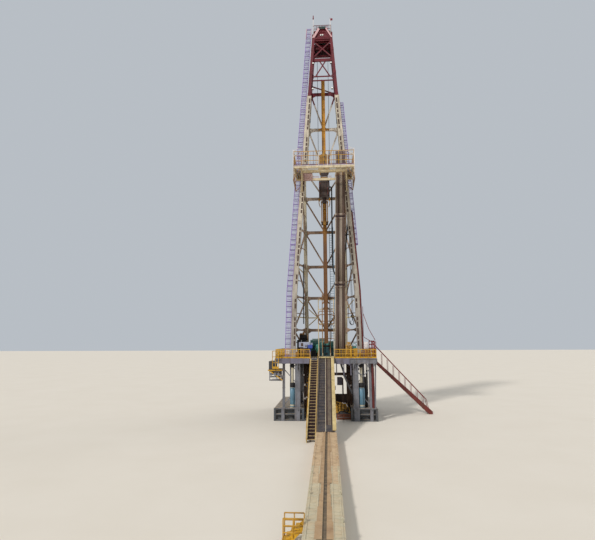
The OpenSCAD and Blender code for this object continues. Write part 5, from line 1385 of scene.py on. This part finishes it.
s.post(2.42, -2.2, 0.75, 2.6, 0.07, 14)
s.rod((2.5, -2.0, 0.75), (2.52, -2.0, 3.0), 0.05, 14)
s.done("cellar_hoses", "rubber_black", "drive_dark")

for x in (-3.45, -3.22, -3.0):
    s.rod_y(-2.75, -1.4, x, 2.78, 0.09, 14)
for z in (2.95, 2.62, 2.42):
    s.rod_x(-3.55, -2.78, -2.6, z, 0.045, 12)
for x in (-3.55, -3.1, -2.8):
    s.bar_z(x, -2.62, 2.38, 3.1, 0.05, 0.05)
s.box((-3.5, -2.5, 2.36), (-2.85, -1.6, 2.42))
s.done("platform_pipes", "column_grey", bevel=0.004)
for x in (-3.34, -3.14, -2.96):
    s.bar_z(x, -2.98, 3.12, 4.2, 0.035, 0.035)
for z in (3.5, 3.85, 4.2):
    s.bar_x(-3.34, -2.96, -2.98, z, 0.035, 0.035)
s.box((-3.34, -2.985, 3.12), (-2.96, -2.975, 3.26))
s.done("platform_rails", "rail_yellow", bevel=0.002)
s.boxes(0, (-1.5, -2.02, 2.64, -1.4, -1.96, 2.74), (-1.44, -2.02, 2.02, -1.34, -1.96, 2.14))
s.tube(smooth([(-1.5, -2.02, 1.62), (-1.46, -2.02, 1.3), (-1.38, -2.02, 1.22), (-1.28, -2.02, 1.34),
               (-1.22, -2.02, 1.3)]), 0.035, 8)
s.box((1.48, -1.6, 1.95), (1.56, -1.54, 2.05))
s.tube(smooth([(0.95, -1.7, 0.98), (1.05, -1.7, 0.9), (1.15, -1.7, 0.94), (1.3, -1.7, 0.7)]), 0.022, 8)
s.done("cellar_pale_bits", "plate_white", "stack_brown", bevel=0.003)

# Travelling block, top drive and links
for side in SIDES:
    y = side * 0.262
    s.plate_y(y, [(-0.31, 16.84), (0.31, 16.84), (0.42, 17.3), (0.42, 18.0), (0.24, 18.18),
                  (-0.24, 18.18), (-0.42, 18.0), (-0.42, 17.3)], 0.02)
    s.bolts([(x, y + side * 0.01, z) for x in (-0.25, -0.14, 0.14, 0.25) for z in (16.95, 17.4, 18.0)],
            (0, side, 0), 0.016, 0.02)
    s.rod_y(y, y + side * 0.05, 0, BLOCK_Z, 0.09, 24)
    s.rib_y(y, 0.012, -0.12, 0.12, 18.15, 18.32)
s.boxes(0, (-0.26, -0.262, 16.42, 0.26, 0.262, 16.48), (-0.415, -0.28, 17.3, -0.35, -0.272, 18.0))
s.done("block_cheeks", "block_yellow", body="travelling", bevel=0.006)
for y in (-0.278, 0.272):
    s.box((-0.07, y, 16.9), (0.07, y + 0.006, 18.1))
s.box((0.35, -0.28, 17.3), (0.415, -0.272, 18.0))
for side in SIDES:
    s.boxes(0, (-0.255, side * 0.252, 16.1, 0.255, side * 0.262, 16.3),
            (-0.255, side * 0.252, 16.5, 0.255, side * 0.262, 16.84),
            (side * 0.25, -0.2, 16.12, side * 0.262, 0.2, 16.82))
s.done("block_dark_parts", "drive_dark", body="travelling", bevel=0.002)
s.ribs_x((-0.34, -0.43, 0.34, 0.43), 0.008, -0.284, -0.27, 17.3, 18.0)
for z in (16.3, 16.49):
    s.box((-0.2, -0.272, z), (0.2, -0.262, z + 0.02))
s.done("block_pale_strips", "plate_white", "block_yellow", "travelling")

for side in SIDES:
    for k in range(5):
        z = 15.15 + k * 0.2
        s.box((side * 0.38, -0.2, z), (side * 0.387, 0.2, z + 0.03))
    s.post(side * 0.3, -0.26, 15.1, 15.95, 0.05, 14)
    s.post(side * 0.27, 0.0, 16.1, 16.3, 0.11, 20)
s.box((-0.14, -0.262, 15.1), (0.14, -0.24, 16.0))
s.done("drive_housing_ribs", "drive_dark", body="travelling", bevel=0.004)
s.boxes(0, (-0.37, -0.258, 15.08, -0.25, -0.24, 16.05), (0.22, -0.256, 15.2, 0.36, -0.24, 15.7))
s.done("drive_red_panels", "stair_red", "drive_dark", "travelling", bevel=0.004)
for side in SIDES:
    s.tube([(side * 0.34, -0.12, 15.0), (side * 0.4, -0.2, 14.8), (side * 0.38, -0.24, 14.5),
            (side * 0.3, -0.2, 14.25)], 0.028, 10)
    s.post(side * 0.36, -0.02, 14.75, 15.02, 0.035, 12)
for z0, z1, r in ((14.25, 14.6, 0.075), (14.15, 14.25, 0.1), (13.9, 14.15, 0.05)):
    s.post(0, 0, z0, z1, r, 18)
s.done("tilt_arms", "block_yellow", body="travelling")
for side in SIDES:
    s.ring((side * 0.2, 0, 13.22), ALONG_Y, 0.055, 0.02, 16, 8)
    s.post(side * 0.2, 0, 14.3, 14.6, 0.037, 14)
s.done("link_eyes", "block_yellow", body="links")
s.ribs_x((-0.17, 0.17), 0.07, -0.114, 0.114, 13.0, 13.22)
s.post(0.16, -0.13, 13.02, 13.2, 0.025, 10)
s.done("elevator_body", "drive_dark", "block_yellow", "links", bevel=0.006)
